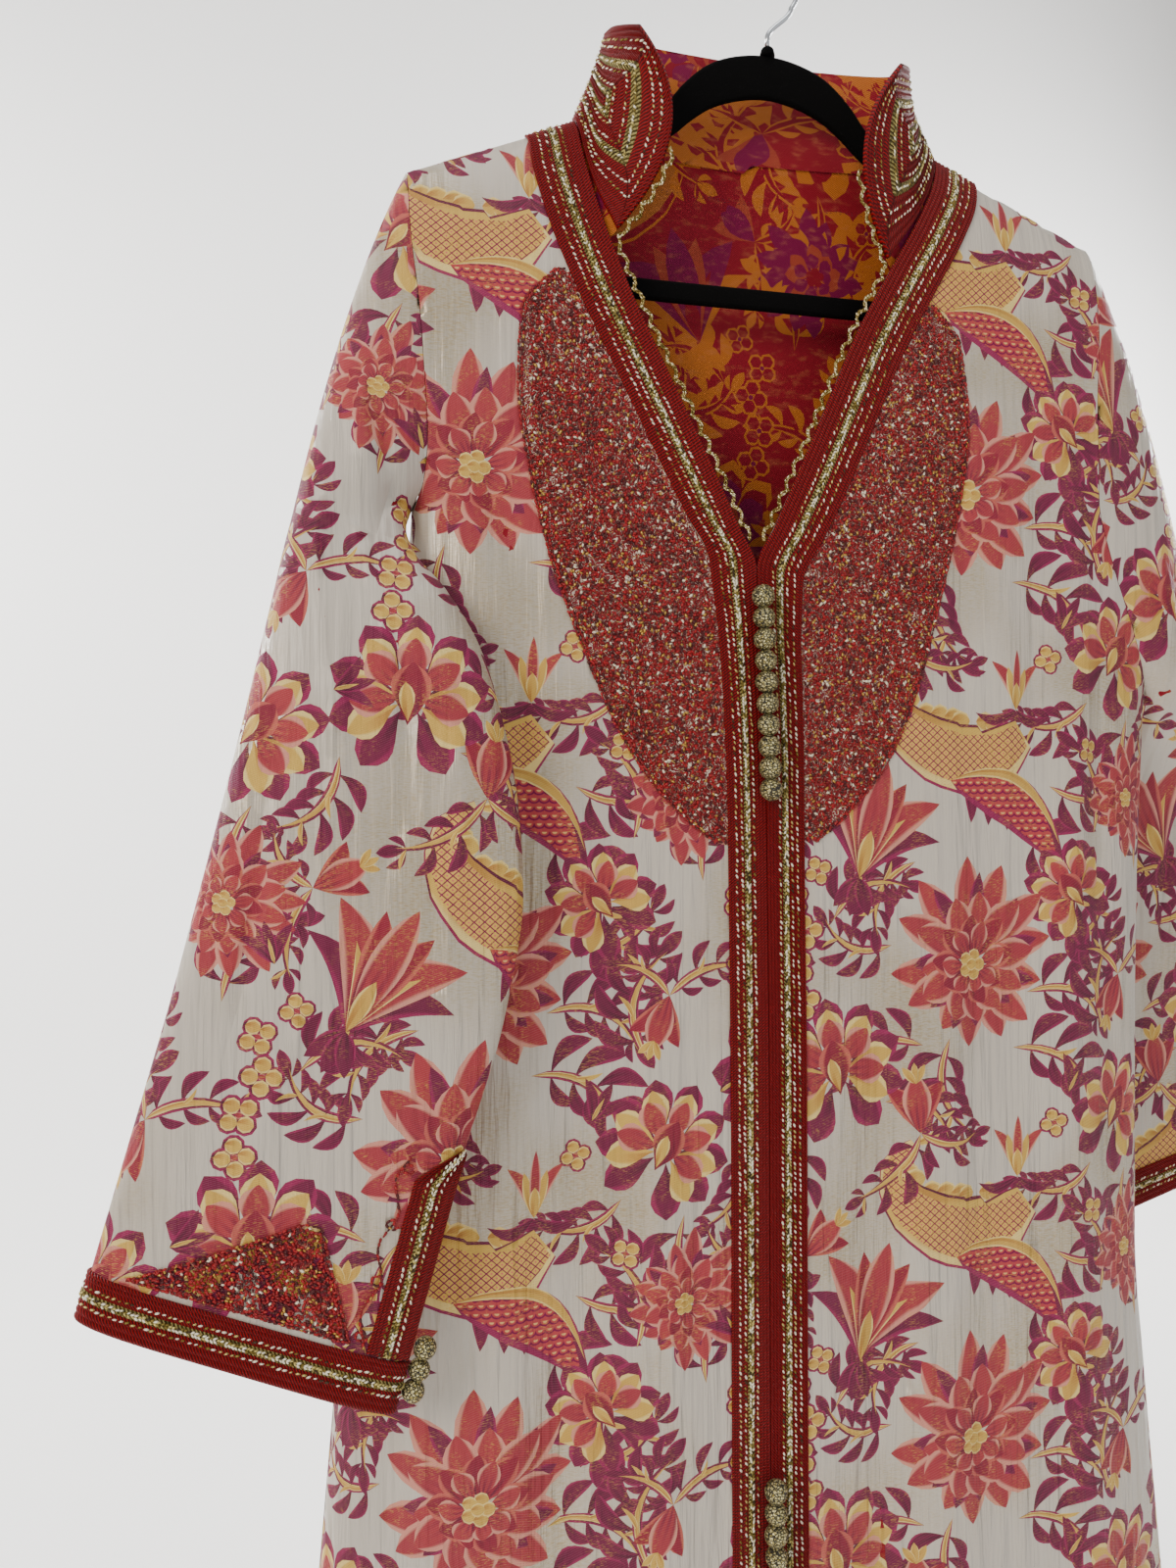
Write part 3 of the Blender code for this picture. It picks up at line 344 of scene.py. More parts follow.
def fold_height(face, x, z):
    height = np.zeros_like(x)
    for fold in FOLDS:
        if fold.face != face:
            continue
        down = (fold.z_top - z) / (fold.z_top - HEM_Z)
        middle = blend(fold.x_top, fold.x_hem, down)
        width = fold.width * (1 + 0.25 * down)
        grow = smooth((fold.z_top - z) / FOLD_FADE)
        height += fold.height * grow * np.exp(-((x - middle) / width) ** 2)
    return height


def ridge(px, pz, x1, z1, x2, z2, width, height):
    """Height of one soft crease at places; it lies along a line and fades at its ends."""
    length2 = (x2 - x1) ** 2 + (z2 - z1) ** 2
    t = ((px - x1) * (x2 - x1) + (pz - z1) * (z2 - z1)) / length2
    away = ((px - x1) * (z2 - z1) - (pz - z1) * (x2 - x1)) / math.sqrt(length2)
    sway = 0.5 * width * np.sin(7.0 * t + x1)
    ends = smooth(t / CREASE_ENDS) * smooth((1 - t) / CREASE_ENDS)
    return height * ends * np.exp(-((away + sway) / width) ** 2)


def crease_height(face, x, z):
    height = np.zeros_like(x)
    for c in CREASES:
        if c.face == face:
            height += ridge(x, z, c.x1, c.z1, c.x2, c.z2, c.width * CREASE_BREADTH,
                            c.height * CREASE_DEPTH)
    return height


def body_depth(face, x, z):
    """Depth of the solid's surface on one face, above zero."""
    depth = (roll_over(face, x, z) + fold_height(face, x, z)) * side_rounding(x, z)
    return np.maximum(depth, SEAM)


def body_points(face, x, z, lift=0.0):
    """Points on the worn surface: the solid's form with the creases, moved out by lift."""
    x = np.asarray(x, float)
    z = np.asarray(z, float)

    def depth(px, pz):
        return body_depth(face, px, pz) + crease_height(face, px, pz) * side_rounding(px, pz)

    y = face * depth(x, z)
    if np.any(lift):
        step = 1.0
        slope_x = (depth(x + step, z) - depth(x - step, z)) / (2 * step)
        slope_z = (depth(x, z + step) - depth(x, z - step)) / (2 * step)
        length = np.sqrt(1 + slope_x ** 2 + slope_z ** 2)
        return np.stack([x - slope_x / length * lift, y + face * lift / length,
                         z - slope_z / length * lift], -1)
    return np.stack([x, y, z], -1)


def vee_x(side, z):
    return centre_x(z) + side * read(VEE, z, "half")


def neck_side(side):
    z = np.array(-123.0)
    for _ in range(4):
        z = shoulder_z(vee_x(side, z))
    return float(vee_x(side, z)), float(z)


def armhole_x(side, z):
    rows = [Vee(row[2 if side == RIGHT else 4], row[1 if side == RIGHT else 3]) for row in ARMHOLE]
    return read(rows, z, "half")


# The side turn: flat places run past the outline and roll round to the side seam

ROLL_STRETCH = 1.7


def roll_in(flat, reach, turn):
    """Real distance across for a flat one: it slows down over the last stretch."""
    start = reach - turn
    t = np.clip((flat - start) / (turn * ROLL_STRETCH), 0.0, 1.0)
    return np.where(flat <= start, flat, start + turn * np.sin(t * math.pi / 2))


def roll_out(real, reach, turn):
    """Flat distance across for a real one."""
    start = reach - turn
    t = np.arcsin(np.clip((real - start) / turn, 0.0, 1.0)) / (math.pi / 2)
    return np.where(real <= start, real, start + turn * ROLL_STRETCH * t)


# The woven pattern: outlines in one repeat of the cloth, cut into triangles once

TILE_W = 285.0
TILE_H = 305.0
NET = 9.5
LONGEST_EDGE = 16.0
KINDS = ("ground", "magenta", "coral", "yellow", "rose", "lattice", "scale")
Outline = namedtuple("Outline", "kind x y angle length half bend tone points")


# Leaves of the small motifs, those of each side and the middle ones. A turn is in degrees, and
# length, half width and bend are shares of the motif's size.
Leaf = namedtuple("Leaf", "kind turn length half bend power steps")
LEAVES = {
    "tulip": ((
        Leaf("magenta", 52, 0.80, 0.12, -0.16, 0.9, 8),
        Leaf("coral", 34, 0.98, 0.16, -0.14, 1.1, 9),
        Leaf("yellow", 25, 0.66, 0.05, -0.05, 0.9, 6),
        Leaf("rose", 13, 0.92, 0.12, -0.04, 1.2, 8),
    ), (
        Leaf("coral", 0, 1.02, 0.14, 0, 1.25, 9),
        Leaf("yellow", 0, 0.42, 0.07, 0, 1.2, 6),
        Leaf("magenta", 150, 0.34, 0.08, 0, 0.8, 6),
        Leaf("magenta", 180, 0.34, 0.08, 0, 0.8, 6),
        Leaf("magenta", 210, 0.34, 0.08, 0, 0.8, 6),
    )),
    "flame": ((
        Leaf("magenta", 96, 0.8, 0.11, 0.16, 0.8, 7),
        Leaf("coral", 30, 1.0, 0.13, -0.12, 1.0, 7),
        Leaf("yellow", 15, 0.8, 0.1, 0, 1.1, 6),
    ), (
        Leaf("coral", 0, 1.1, 0.1, 0, 1.1, 7),
        Leaf("yellow", 0, 0.5, 0.1, 0, 1.3, 6),
    )),
    "fruit": ((
        Leaf("rose", 30, 0.9, 0.18, -0.1, 1.1, 7),
    ), (
        Leaf("coral", 0, 0.96, 0.24, 0, 1.15, 8),
    )),
    "sprig": ((), (
        Leaf("magenta", -38, 1.0, 0.15, 0.1, 0.9, 6),
        Leaf("magenta", 0, 1.0, 0.15, 0, 0.9, 6),
        Leaf("magenta", 38, 1.0, 0.15, -0.1, 0.9, 6),
        Leaf("yellow", 0, 0.6, 0.05, 0, 0.8, 5),
    )),
}


class Weave:
    """Outlines of one repeat, in the order in which they cover each other."""

    def __init__(self, detail=1.0):
        self.outlines = []
        self.chance = random.Random(11)
        self.detail = detail

    def keep(self, kind, x, y, turn, length, half, bend, points):
        self.outlines.append(Outline(
            KINDS.index(kind), x, y, turn, length, half, bend, self.chance.random(), points))

    def leaf(self, kind, x, y, angle, length, half, bend, power, steps):
        """Leaf or petal: a base, a direction in degrees, a length and a half width.

        bend bows its middle line sideways; a power under 1 puts the widest place nearer
        the base and one over 1 nearer the tip.
        """
        turn = math.radians(angle)
        ax = math.cos(turn)
        ay = math.sin(turn)
        steps = max(3, round(steps * self.detail))
        points = []
        for i in range(2 * steps):
            t = i / steps if i <= steps else 2 - i / steps
            side = -1 if i < steps else 1
            wide = half * math.sin(math.pi * t ** power) ** 0.8 if 0 < t < 1 else 0.0
            off = bend * 4 * t * (1 - t) + side * wide
            points.append((x + ax * length * t - ay * off, y + ay * length * t + ax * off))
        self.keep(kind, x, y, turn, length, half, bend, points)

    def petal(self, kind, x, y, near, angle, length, half, bend, power, steps):
        """Leaf whose base stands at a distance from a flower's centre."""
        turn = math.radians(angle)
        self.leaf(kind, x + near * math.cos(turn), y + near * math.sin(turn), angle, length,
                  half, bend, power, steps)

    def leaves(self, x, y, size, angle, sided, middle):
        """Leaves on one foot: those of each side, then the middle ones."""
        for side, rows in ((1, sided), (-1, sided), (1, middle)):
            for row in rows:
                self.leaf(row.kind, x, y, angle + side * row.turn, size * row.length,
                          size * row.half, side * row.bend * size, row.power, row.steps)

    def disc(self, kind, x, y, radius, steps):
        steps = max(5, round(steps * self.detail))
        points = []
        for i in range(steps):
            a = 2 * math.pi * i / steps
            points.append((x + math.cos(a) * radius, y + math.sin(a) * radius))
        self.keep(kind, x - radius, y, 0.0, 2 * radius, radius, 0.0, points)

    def shape(self, kind, points):
        """Any closed outline."""
        xs = [p[0] for p in points]
        ys = [p[1] for p in points]
        self.keep(kind, min(xs), (min(ys) + max(ys)) / 2, 0.0, max(xs) - min(xs),
                  (max(ys) - min(ys)) / 2, 0.0, points)

    def spray(self, x, y, angle, length, bend, pairs, size, flip):
        """Curved stalk with pairs of curling leaflets and a yellow rib along it."""
        turn = math.radians(angle)
        ax = math.cos(turn)
        ay = math.sin(turn)

        def place(t):
            off = bend * flip * 4 * t * (1 - t)
            return x + ax * length * t - ay * off, y + ay * length * t + ax * off

        for k in range(pairs):
            t = 0.14 + 0.74 * k / max(1, pairs - 1)
            px, py = place(t)
            nx, ny = place(t + 0.02)
            heading = math.degrees(math.atan2(ny - py, nx - px))
            reach = size * (0.78 + 0.35 * math.sin(math.pi * t)) * (1.05 - 0.45 * t)
            for side in (1, -1):
                reach_side = reach * (1.0 if side == flip else 0.78)
                self.leaf("magenta", px, py, heading + side * (46 - 10 * t), reach_side,
                          reach_side * 0.17, side * reach_side * 0.2, 1.35, 9)
        px, py = place(0.86)
        nx, ny = place(0.9)
        heading = math.degrees(math.atan2(ny - py, nx - px))
        self.leaf("magenta", px, py, heading, size * 0.72, size * 0.15, 0, 1.3, 8)
        self.leaf("magenta", x, y, angle, length, 3.2, bend * flip, 0.6, 10)
        self.leaf("yellow", x, y, angle, length * 0.96, 1.7, bend * flip, 0.6, 10)
        for k in range(1, pairs, 2):
            t = 0.14 + 0.74 * k / max(1, pairs - 1)
            px, py = place(t)
            self.leaf("yellow", px, py, angle + flip * 46, size * 0.5, size * 0.05,
                      -flip * size * 0.05, 0.7, 5)

    def peony(self, x, y, size, angle):
        """Large open flower: rings of pointed petals round small yellow hearts."""
        rings = (("coral", 13, 1.0, 0.17, 0), ("magenta", 11, 0.80, 0.10, 14),
                 ("coral", 11, 0.74, 0.17, 9), ("rose", 9, 0.52, 0.13, 22),
                 ("coral", 7, 0.40, 0.11, 4))
        near = 0.12 * size
        for kind, count, reach, wide, start in rings:
            for k in range(count):
                jitter = self.chance.uniform(-6, 6)
                stretch = self.chance.uniform(0.86, 1.08)
                direction = angle + start + 360.0 * k / count + jitter
                lean = 1 + 0.16 * math.cos(math.radians(direction) - math.radians(angle))
                length = size * reach * stretch * lean
                self.petal(kind, x, y, near, direction, length - near, size * wide * 1.05,
                           size * self.chance.uniform(-0.04, 0.04), 1.35, 7)
        hearts = 5
        for k in range(hearts):
            a = math.radians(angle + 360 * k / hearts)
            self.disc("yellow", x + size * 0.10 * math.cos(a), y + size * 0.10 * math.sin(a),
                      size * 0.075, 8)
        self.disc("yellow", x, y, size * 0.07, 8)

    def shell_rose(self, x, y, size, angle):
        """Round flower whose broad petals close over each other like shells."""
        rings = (("magenta", 9, 150, 0.2, 0.86, 0.24, 1.7), ("yellow", 7, 126, 0.16, 0.74, 0.21, 1.8),
                 ("coral", 5, 100, 0.1, 0.66, 0.22, 1.8))
        for kind, count, spread, near, length, half, power in rings:
            for k in range(count):
                direction = angle - spread + 2 * spread * k / (count - 1)
                self.petal(kind, x, y, near * size, direction, size * length, size * half, 0,
                           power, 7)
        self.petal("rose", x, y, -0.35 * size, angle, size * 0.8, size * 0.26, 0, 1.5, 8)
        turn = math.radians(angle)
        self.leaf("yellow", x - 0.3 * size * math.cos(turn), y - 0.3 * size * math.sin(turn),
                  angle + 8, size * 0.5, size * 0.1, 0, 1.4, 6)

    def bud(self, x, y, size, angle, flip):
        """Round fruit with a crown, in a spray of magenta leaves."""
        self.spray(x, y, angle + 128 * flip, size * 1.5, size * 0.2, 4, size * 0.62, flip)
        self.spray(x, y, angle - 100 * flip, size * 1.1, size * 0.16, 3, size * 0.55, -flip)
        self.leaves(x, y, size, angle, *LEAVES["fruit"])
        tip = math.radians(angle)
        for side in (-1, 0, 1):
            self.leaf("yellow", x + math.cos(tip) * size * 0.8, y + math.sin(tip) * size * 0.8,
                      angle + side * 34, size * 0.34, size * 0.07, 0, 1.0, 5)

    def clover(self, x, y, size, angle):
        for kind, radius, steps in (("magenta", 0.52, 9), ("yellow", 0.38, 8)):
            for k in range(4):
                turn = math.radians(angle + 90 * k)
                self.disc(kind, x + size * 0.52 * math.cos(turn), y + size * 0.52 * math.sin(turn),
                          size * radius, steps)
        self.disc("coral", x, y, size * 0.16, 6)

    def horn(self, x, y, size, flip):
        """Curling horn with a net on it, edged in yellow."""

        def side(points, t, wide):
            i = min(int(t * (len(points) - 1)), len(points) - 2)
            f = t * (len(points) - 1) - i
            px = blend(points[i][0], points[i + 1][0], f)
            py = blend(points[i][1], points[i + 1][1], f)
            dx = points[i + 1][0] - points[i][0]
            dy = points[i + 1][1] - points[i][1]
            length = math.hypot(dx, dy)
            return px - dy / length * wide, py + dx / length * wide

        line = [(-0.18, 0.52), (-0.30, 0.42), (-0.30, 0.27), (-0.20, 0.12), (-0.02, 0.0),
                (0.20, -0.07), (0.44, -0.04), (0.62, 0.10)]
        widths = (0.03, 0.05, 0.09, 0.14, 0.18, 0.2, 0.17, 0.1)

        def width_at(t):
            place = t * (len(widths) - 1)
            i = min(int(place), len(widths) - 2)
            return blend(widths[i], widths[i + 1], place - i)

        def outline(grow, begin=0.0, finish=1.0, steps=14):
            upper = []
            lower = []
            for n in range(steps + 1):
                t = blend(begin, finish, n / steps)
                upper.append(side(line, t, width_at(t) * grow))
                lower.append(side(line, t, -width_at(t) * grow))
            ring = upper + lower[::-1]
            return [(x + flip * px * size, y + py * size) for px, py in ring]

        for n in range(9):
            t = 0.12 + 0.1 * n
            px, py = side(line, min(t, 1.0), width_at(min(t, 1.0)) * 1.25)
            self.disc("yellow", x + flip * px * size, y + py * size, size * 0.065, 8)
        self.shape("magenta", outline(1.14))
        self.shape("yellow", outline(1.04))
        self.shape("lattice", outline(0.80, 0.04, 0.99))
        tip = (x + flip * -0.18 * size, y + 0.52 * size)
        self.leaf("yellow", tip[0], tip[1], 90 - flip * 60, size * 0.22, size * 0.03,
                  -flip * size * 0.03, 0.8, 6)

    def scaled_leaf(self, x, y, size, angle, flip):
        """Broad curling leaf covered in scales, with a toothed magenta edge."""
        for k in range(7):
            t = 0.1 + 0.12 * k
            off = flip * size * 0.18 * 4 * t * (1 - t)
            turn = math.radians(angle)
            px = x + math.cos(turn) * size * t - math.sin(turn) * off
            py = y + math.sin(turn) * size * t + math.cos(turn) * off
            self.leaf("magenta", px, py, angle - flip * (48 - 30 * t), size * 0.30, size * 0.05,
                      flip * size * 0.03, 0.9, 6)
        self.leaf("magenta", x, y, angle, size * 1.1, size * 0.19, flip * size * 0.18, 0.85, 11)
        self.leaf("scale", x, y, angle, size * 1.04, size * 0.145, flip * size * 0.18, 0.85, 11)
        self.leaf("yellow", x, y, angle + flip * 8, size * 0.98, size * 0.04,
                  flip * size * 0.26, 0.8, 9)


# Where each motif of the repeat lies: a name, a place, a size, a heading and a side
Motif = namedtuple("Motif", "name x y size angle flip")
REPEAT = (
    Motif("spray", 178, 262, 58, -24, 1),
    Motif("spray", 100, 232, 52, -160, -1),
    Motif("spray", 168, 226, 66, -38, 1),
    Motif("spray", 118, 236, 60, -74, -1),
    Motif("spray", 80, 296, 46, 158, 1),
    Motif("spray", 196, 300, 52, 30, -1),
    Motif("spray", 14, 176, 50, -118, 1),
    Motif("spray", 76, 196, 44, -30, 1),
    Motif("spray", 172, 60, 70, -62, 1),
    Motif("spray", 196, 92, 54, 8, -1),
    Motif("spray", 96, 44, 50, -118, -1),
    Motif("spray", 240, 232, 62, 78, 1),
    Motif("spray", 262, 138, 60, -70, -1),
    Motif("spray", 224, 148, 50, 190, 1),
    Motif("spray", 232, 60, 58, 110, -1),
    Motif("spray", 276, 34, 54, 60, 1),
    Motif("spray", 40, 8, 52, 20, 1),
    Motif("horn", 112, 116, 104, 0, 1),
    Motif("scaled_leaf", 122, 96, 92, -36, 1),
    Motif("tulip", 58, 34, 74, 74, 1),
    Motif("flame", 170, 142, 36, 88, 1),
    Motif("bud", 98, 176, 40, 96, 1),
    Motif("bud", 20, 104, 34, 40, -1),
    Motif("bud", 254, 270, 36, 250, 1),
    Motif("shell_rose", 42, 218, 44, 100, 1),
    Motif("shell_rose", 250, 178, 40, 60, 1),
    Motif("shell_rose", 212, 22, 34, 130, 1),
    Motif("peony", 136, 282, 60, 70, 1),
    Motif("peony", 262, 84, 40, 20, 1),
    Motif("sprig", 206, 196, 26, 60, 1),
    Motif("sprig", 12, 60, 24, 120, 1),
    Motif("sprig", 286, 210, 24, 30, 1),
    Motif("clover", 20, 262, 12, 20, 1),
    Motif("clover", 16, 284, 12, 50, 1),
    Motif("clover", 22, 306, 12, 10, 1),
    Motif("clover", 14, 326, 11, 40, 1),
    Motif("clover", 30, 344, 10, 25, 1),
    Motif("clover", 196, 176, 10, 15, 1),
    Motif("clover", 226, 116, 10, 35, 1),
)


def draw_repeat(detail=1.0):
    """Outlines of one repeat; a detail under 1 gives them fewer points."""
    weave = Weave(detail)
    whole = {"peony": weave.peony, "shell_rose": weave.shell_rose, "clover": weave.clover}
    sided = {"bud": weave.bud, "scaled_leaf": weave.scaled_leaf}
    for m in REPEAT:
        if m.name == "spray":
            weave.spray(m.x, m.y, m.angle, m.size * 1.12, m.size * 0.24, 5, m.size * 0.54, m.flip)
        elif m.name == "horn":
            weave.horn(m.x, m.y, m.size, m.flip)
        elif m.name in sided:
            sided[m.name](m.x, m.y, m.size, m.angle, m.flip)
        elif m.name in whole:
            whole[m.name](m.x, m.y, m.size, m.angle)
        else:
            weave.leaves(m.x, m.y, m.size, m.angle, *LEAVES[m.name])
    return weave.outlines


def inside(points, ring):
    """Which of the points lie inside a closed ring."""
    x = points[:, 0, None]
    y = points[:, 1, None]
    x1, y1 = ring.T
    x2, y2 = np.roll(ring, -1, axis=0).T
    crosses = (y1 > y) != (y2 > y)
    rise = np.where(y2 == y1, 1.0, y2 - y1)
    return np.sum(crosses & (x < (x2 - x1) * (y - y1) / rise + x1), axis=1) % 2 == 1


def copies_in_tile(outlines):
    """Each outline with its copies from the neighbouring repeats that reach into this one."""
    placed = []
    for number, o in enumerate(outlines):
        ring = np.array(o.points)
        for sx in (-TILE_W, 0, TILE_W):
            for sy in (-TILE_H, 0, TILE_H):
                moved = ring + (sx, sy)
                low = moved.min(axis=0)
                high = moved.max(axis=0)
                if high[0] > 0 and high[1] > 0 and low[0] < TILE_W and low[1] < TILE_H:
                    placed.append((number, sx, sy, moved, low, high))
    return placed


def top_outline(points, placed):
    """Number in placed of the outline that covers each point, or -1 on the bare ground."""
    top = np.full(len(points), -1)
    for number, (_, _, _, ring, low, high) in enumerate(placed):
        near = np.flatnonzero(np.all((points > low) & (points < high), axis=1))
        if len(near):
            top[near[inside(points[near], ring)]] = number
    return top


def triangles_in_tile(points, edges, rings):
    found, _, faces, _, _, _ = delaunay_2d_cdt([Vector(p) for p in points], edges, rings, 0, 1e-3)
    places = np.array([(p.x, p.y) for p in found])
    triangles = np.array([face for face in faces if len(face) == 3])
    middles = places[triangles].mean(axis=1)
    here = np.all((middles > 0) & (middles < (TILE_W, TILE_H)), axis=1)
    return places, triangles[here], middles[here]


def seen_edges(triangles, top):
    """Edges between two outlines, or at the border of the tile."""
    sides = {}
    for triangle, number in zip(triangles.tolist(), top.tolist()):
        for a, b in zip(triangle, triangle[1:] + triangle[:1]):
            sides.setdefault((min(a, b), max(a, b)), []).append(number)
    return [edge for edge, both in sides.items() if len(both) == 1 or both[0] != both[1]]


def without_straight_points(places, edges, allowance):
    """Leave out the points on a line that runs straight on, within an allowance in mm."""
    linked = {}
    for a, b in edges:
        linked.setdefault(a, set()).add(b)
        linked.setdefault(b, set()).add(a)
    for point in sorted(linked):
        if len(linked[point]) != 2:
            continue
        before, after = linked[point]
        run = places[after] - places[before]
        length = math.hypot(*run)
        away = places[point] - places[before]
        if after in linked[before] or length > LONGEST_EDGE or length == 0:
            continue
        if abs(run[0] * away[1] - run[1] * away[0]) / length < allowance:
            del linked[point]
            linked[before].remove(point)
            linked[after].remove(point)
            linked[before].add(after)
            linked[after].add(before)
    return [(a, b) for a in linked for b in linked[a] if a < b]


def cut_repeat(outlines, net=NET, allowance=0.12):
    """Triangles of one repeat, each with the outline on top at it.

    Returns the points, the triangles, the kind of each, and the place of each corner in its
    petal: along it, across it and how far it bows, with a tone for each triangle.
    """
    placed = copies_in_tile(outlines)
    points = [(0, 0), (TILE_W, 0), (TILE_W, TILE_H), (0, TILE_H)]
    rings = [[0, 1, 2, 3]]
    for item in placed:
        rings.append(list(range(len(points), len(points) + len(item[3]))))
        points += item[3].tolist()
    places, triangles, middles = triangles_in_tile(points, [], rings)
    edges = seen_edges(triangles, top_outline(middles, placed))
    edges = without_straight_points(places, edges, allowance)
    used = sorted({point for edge in edges for point in edge})
    number_of = {point: number for number, point in enumerate(used)}
    edges = [(number_of[a], number_of[b]) for a, b in edges]
    points = places[used].tolist()
    across = int(TILE_W / net)
    down = int(TILE_H / net)
    for i in range(across + 1):
        for j in range(down + 1):
            shift = 0.5 if j % 2 and 0 < i < across else 0.0
            points.append(((i + shift) * TILE_W / across, j * TILE_H / down))
    places, triangles, middles = triangles_in_tile(points, edges, [])
    top = top_outline(middles, placed)
    kinds = np.zeros(len(triangles), int)
    tones = np.zeros(len(triangles))
    petals = np.zeros((len(triangles), 3, 3))
    for n, number in enumerate(top):
        if number == -1:
            continue
        which, sx, sy = placed[number][:3]
        o = outlines[which]
        kinds[n] = o.kind
        tones[n] = o.tone
        corner = places[triangles[n]] - np.array([o.x + sx, o.y + sy])
        along = corner @ np.array([math.cos(o.angle), math.sin(o.angle)])
        side = corner @ np.array([-math.sin(o.angle), math.cos(o.angle)])
        petals[n, :, 0] = along / o.length
        petals[n, :, 1] = side / max(o.half, 0.1)
        petals[n, :, 2] = o.bend / max(o.half, 0.1)
    return places, triangles, kinds, petals, tones


# Panels of patterned cloth

class Panel:
    """A panel seen as a height over X and Z: where a flat place lies, and its outline.

    settle(flat) moves places from outside the outline onto it, and points(flat, lift)
    gives the points in the part's frame, in millimetres.
    """

    def __init__(self, outward, low, high, offset, turn=0.0, mirror=False):
        self.outward = np.array(outward, float)
        self.low = low
        self.high = high
        self.offset = offset
        self.turn = math.radians(turn)
        self.mirror = mirror


class BodyPanel(Panel):
    """A front panel, or the back when side is 0."""

    def __init__(self, face, side, offset, mirror=False):
        reach = 400.0
        low_x = 0.0 if side == LEFT else -reach
        high_x = 0.0 if side == RIGHT else reach
        super().__init__((0, face, 0), (low_x - 30, HEM_Z), (high_x + 30, -60.0), offset,
                         mirror=mirror)
        self.face = face
        self.side = side

    def turn_width(self, z):
        return full_depth(self.face, z) * 1.1

    def settle(self, flat):
        x = flat[:, 0].copy()
        z = np.maximum(flat[:, 1], HEM_Z)
        z = np.minimum(z, self.top(x))
        for side in (RIGHT, LEFT):
            under_z = ARMHOLE[-1].z_right if side == RIGHT else ARMHOLE[-1].z_left
            reach = read(LEVELS, z, "side_" + side_name(side))
            hole = np.minimum(np.abs(armhole_x(side, z)), reach)
            real = np.where(z > under_z, hole, reach)
            edge = roll_out(real, reach, self.turn_width(z))
            x = np.where(x * side > 0, side * np.minimum(np.abs(x), edge), x)
        if self.side:
            inner = vee_x(self.side, z)
            x = np.maximum(x, inner) if self.side == LEFT else np.minimum(x, inner)
        return np.stack([x, z], -1)

    def top(self, x):
        """Height of the panel's top edge: the shoulder, and the neckline on the back."""
        real = np.clip(x, -TIP_X, TIP_X)
        top = shoulder_z(real)
        if self.side:
            return top
        for side in (RIGHT, LEFT):
            neck_x, neck_z = neck_side(side)
            middle = float(centre_x(neck_z))
            along = np.clip((real - middle) / (neck_x - middle), 0, 1)
            dip = blend(neck_z - BACK_NECK_DROP, neck_z, along ** 4)
            inside = (real - neck_x) * side < 0
            here = (real - middle) * side >= 0
            top = np.where(inside & here, dip, top)
        return top

    def points(self, flat, lift=0.0):
        x = flat[:, 0]
        z = flat[:, 1]
        reach = side_reach(x, z)
        real = np.sign(x) * roll_in(np.abs(x), reach, self.turn_width(z))
        limit = reach * 0.9995
        return body_points(self.face, np.clip(real, -limit, limit), z, lift)


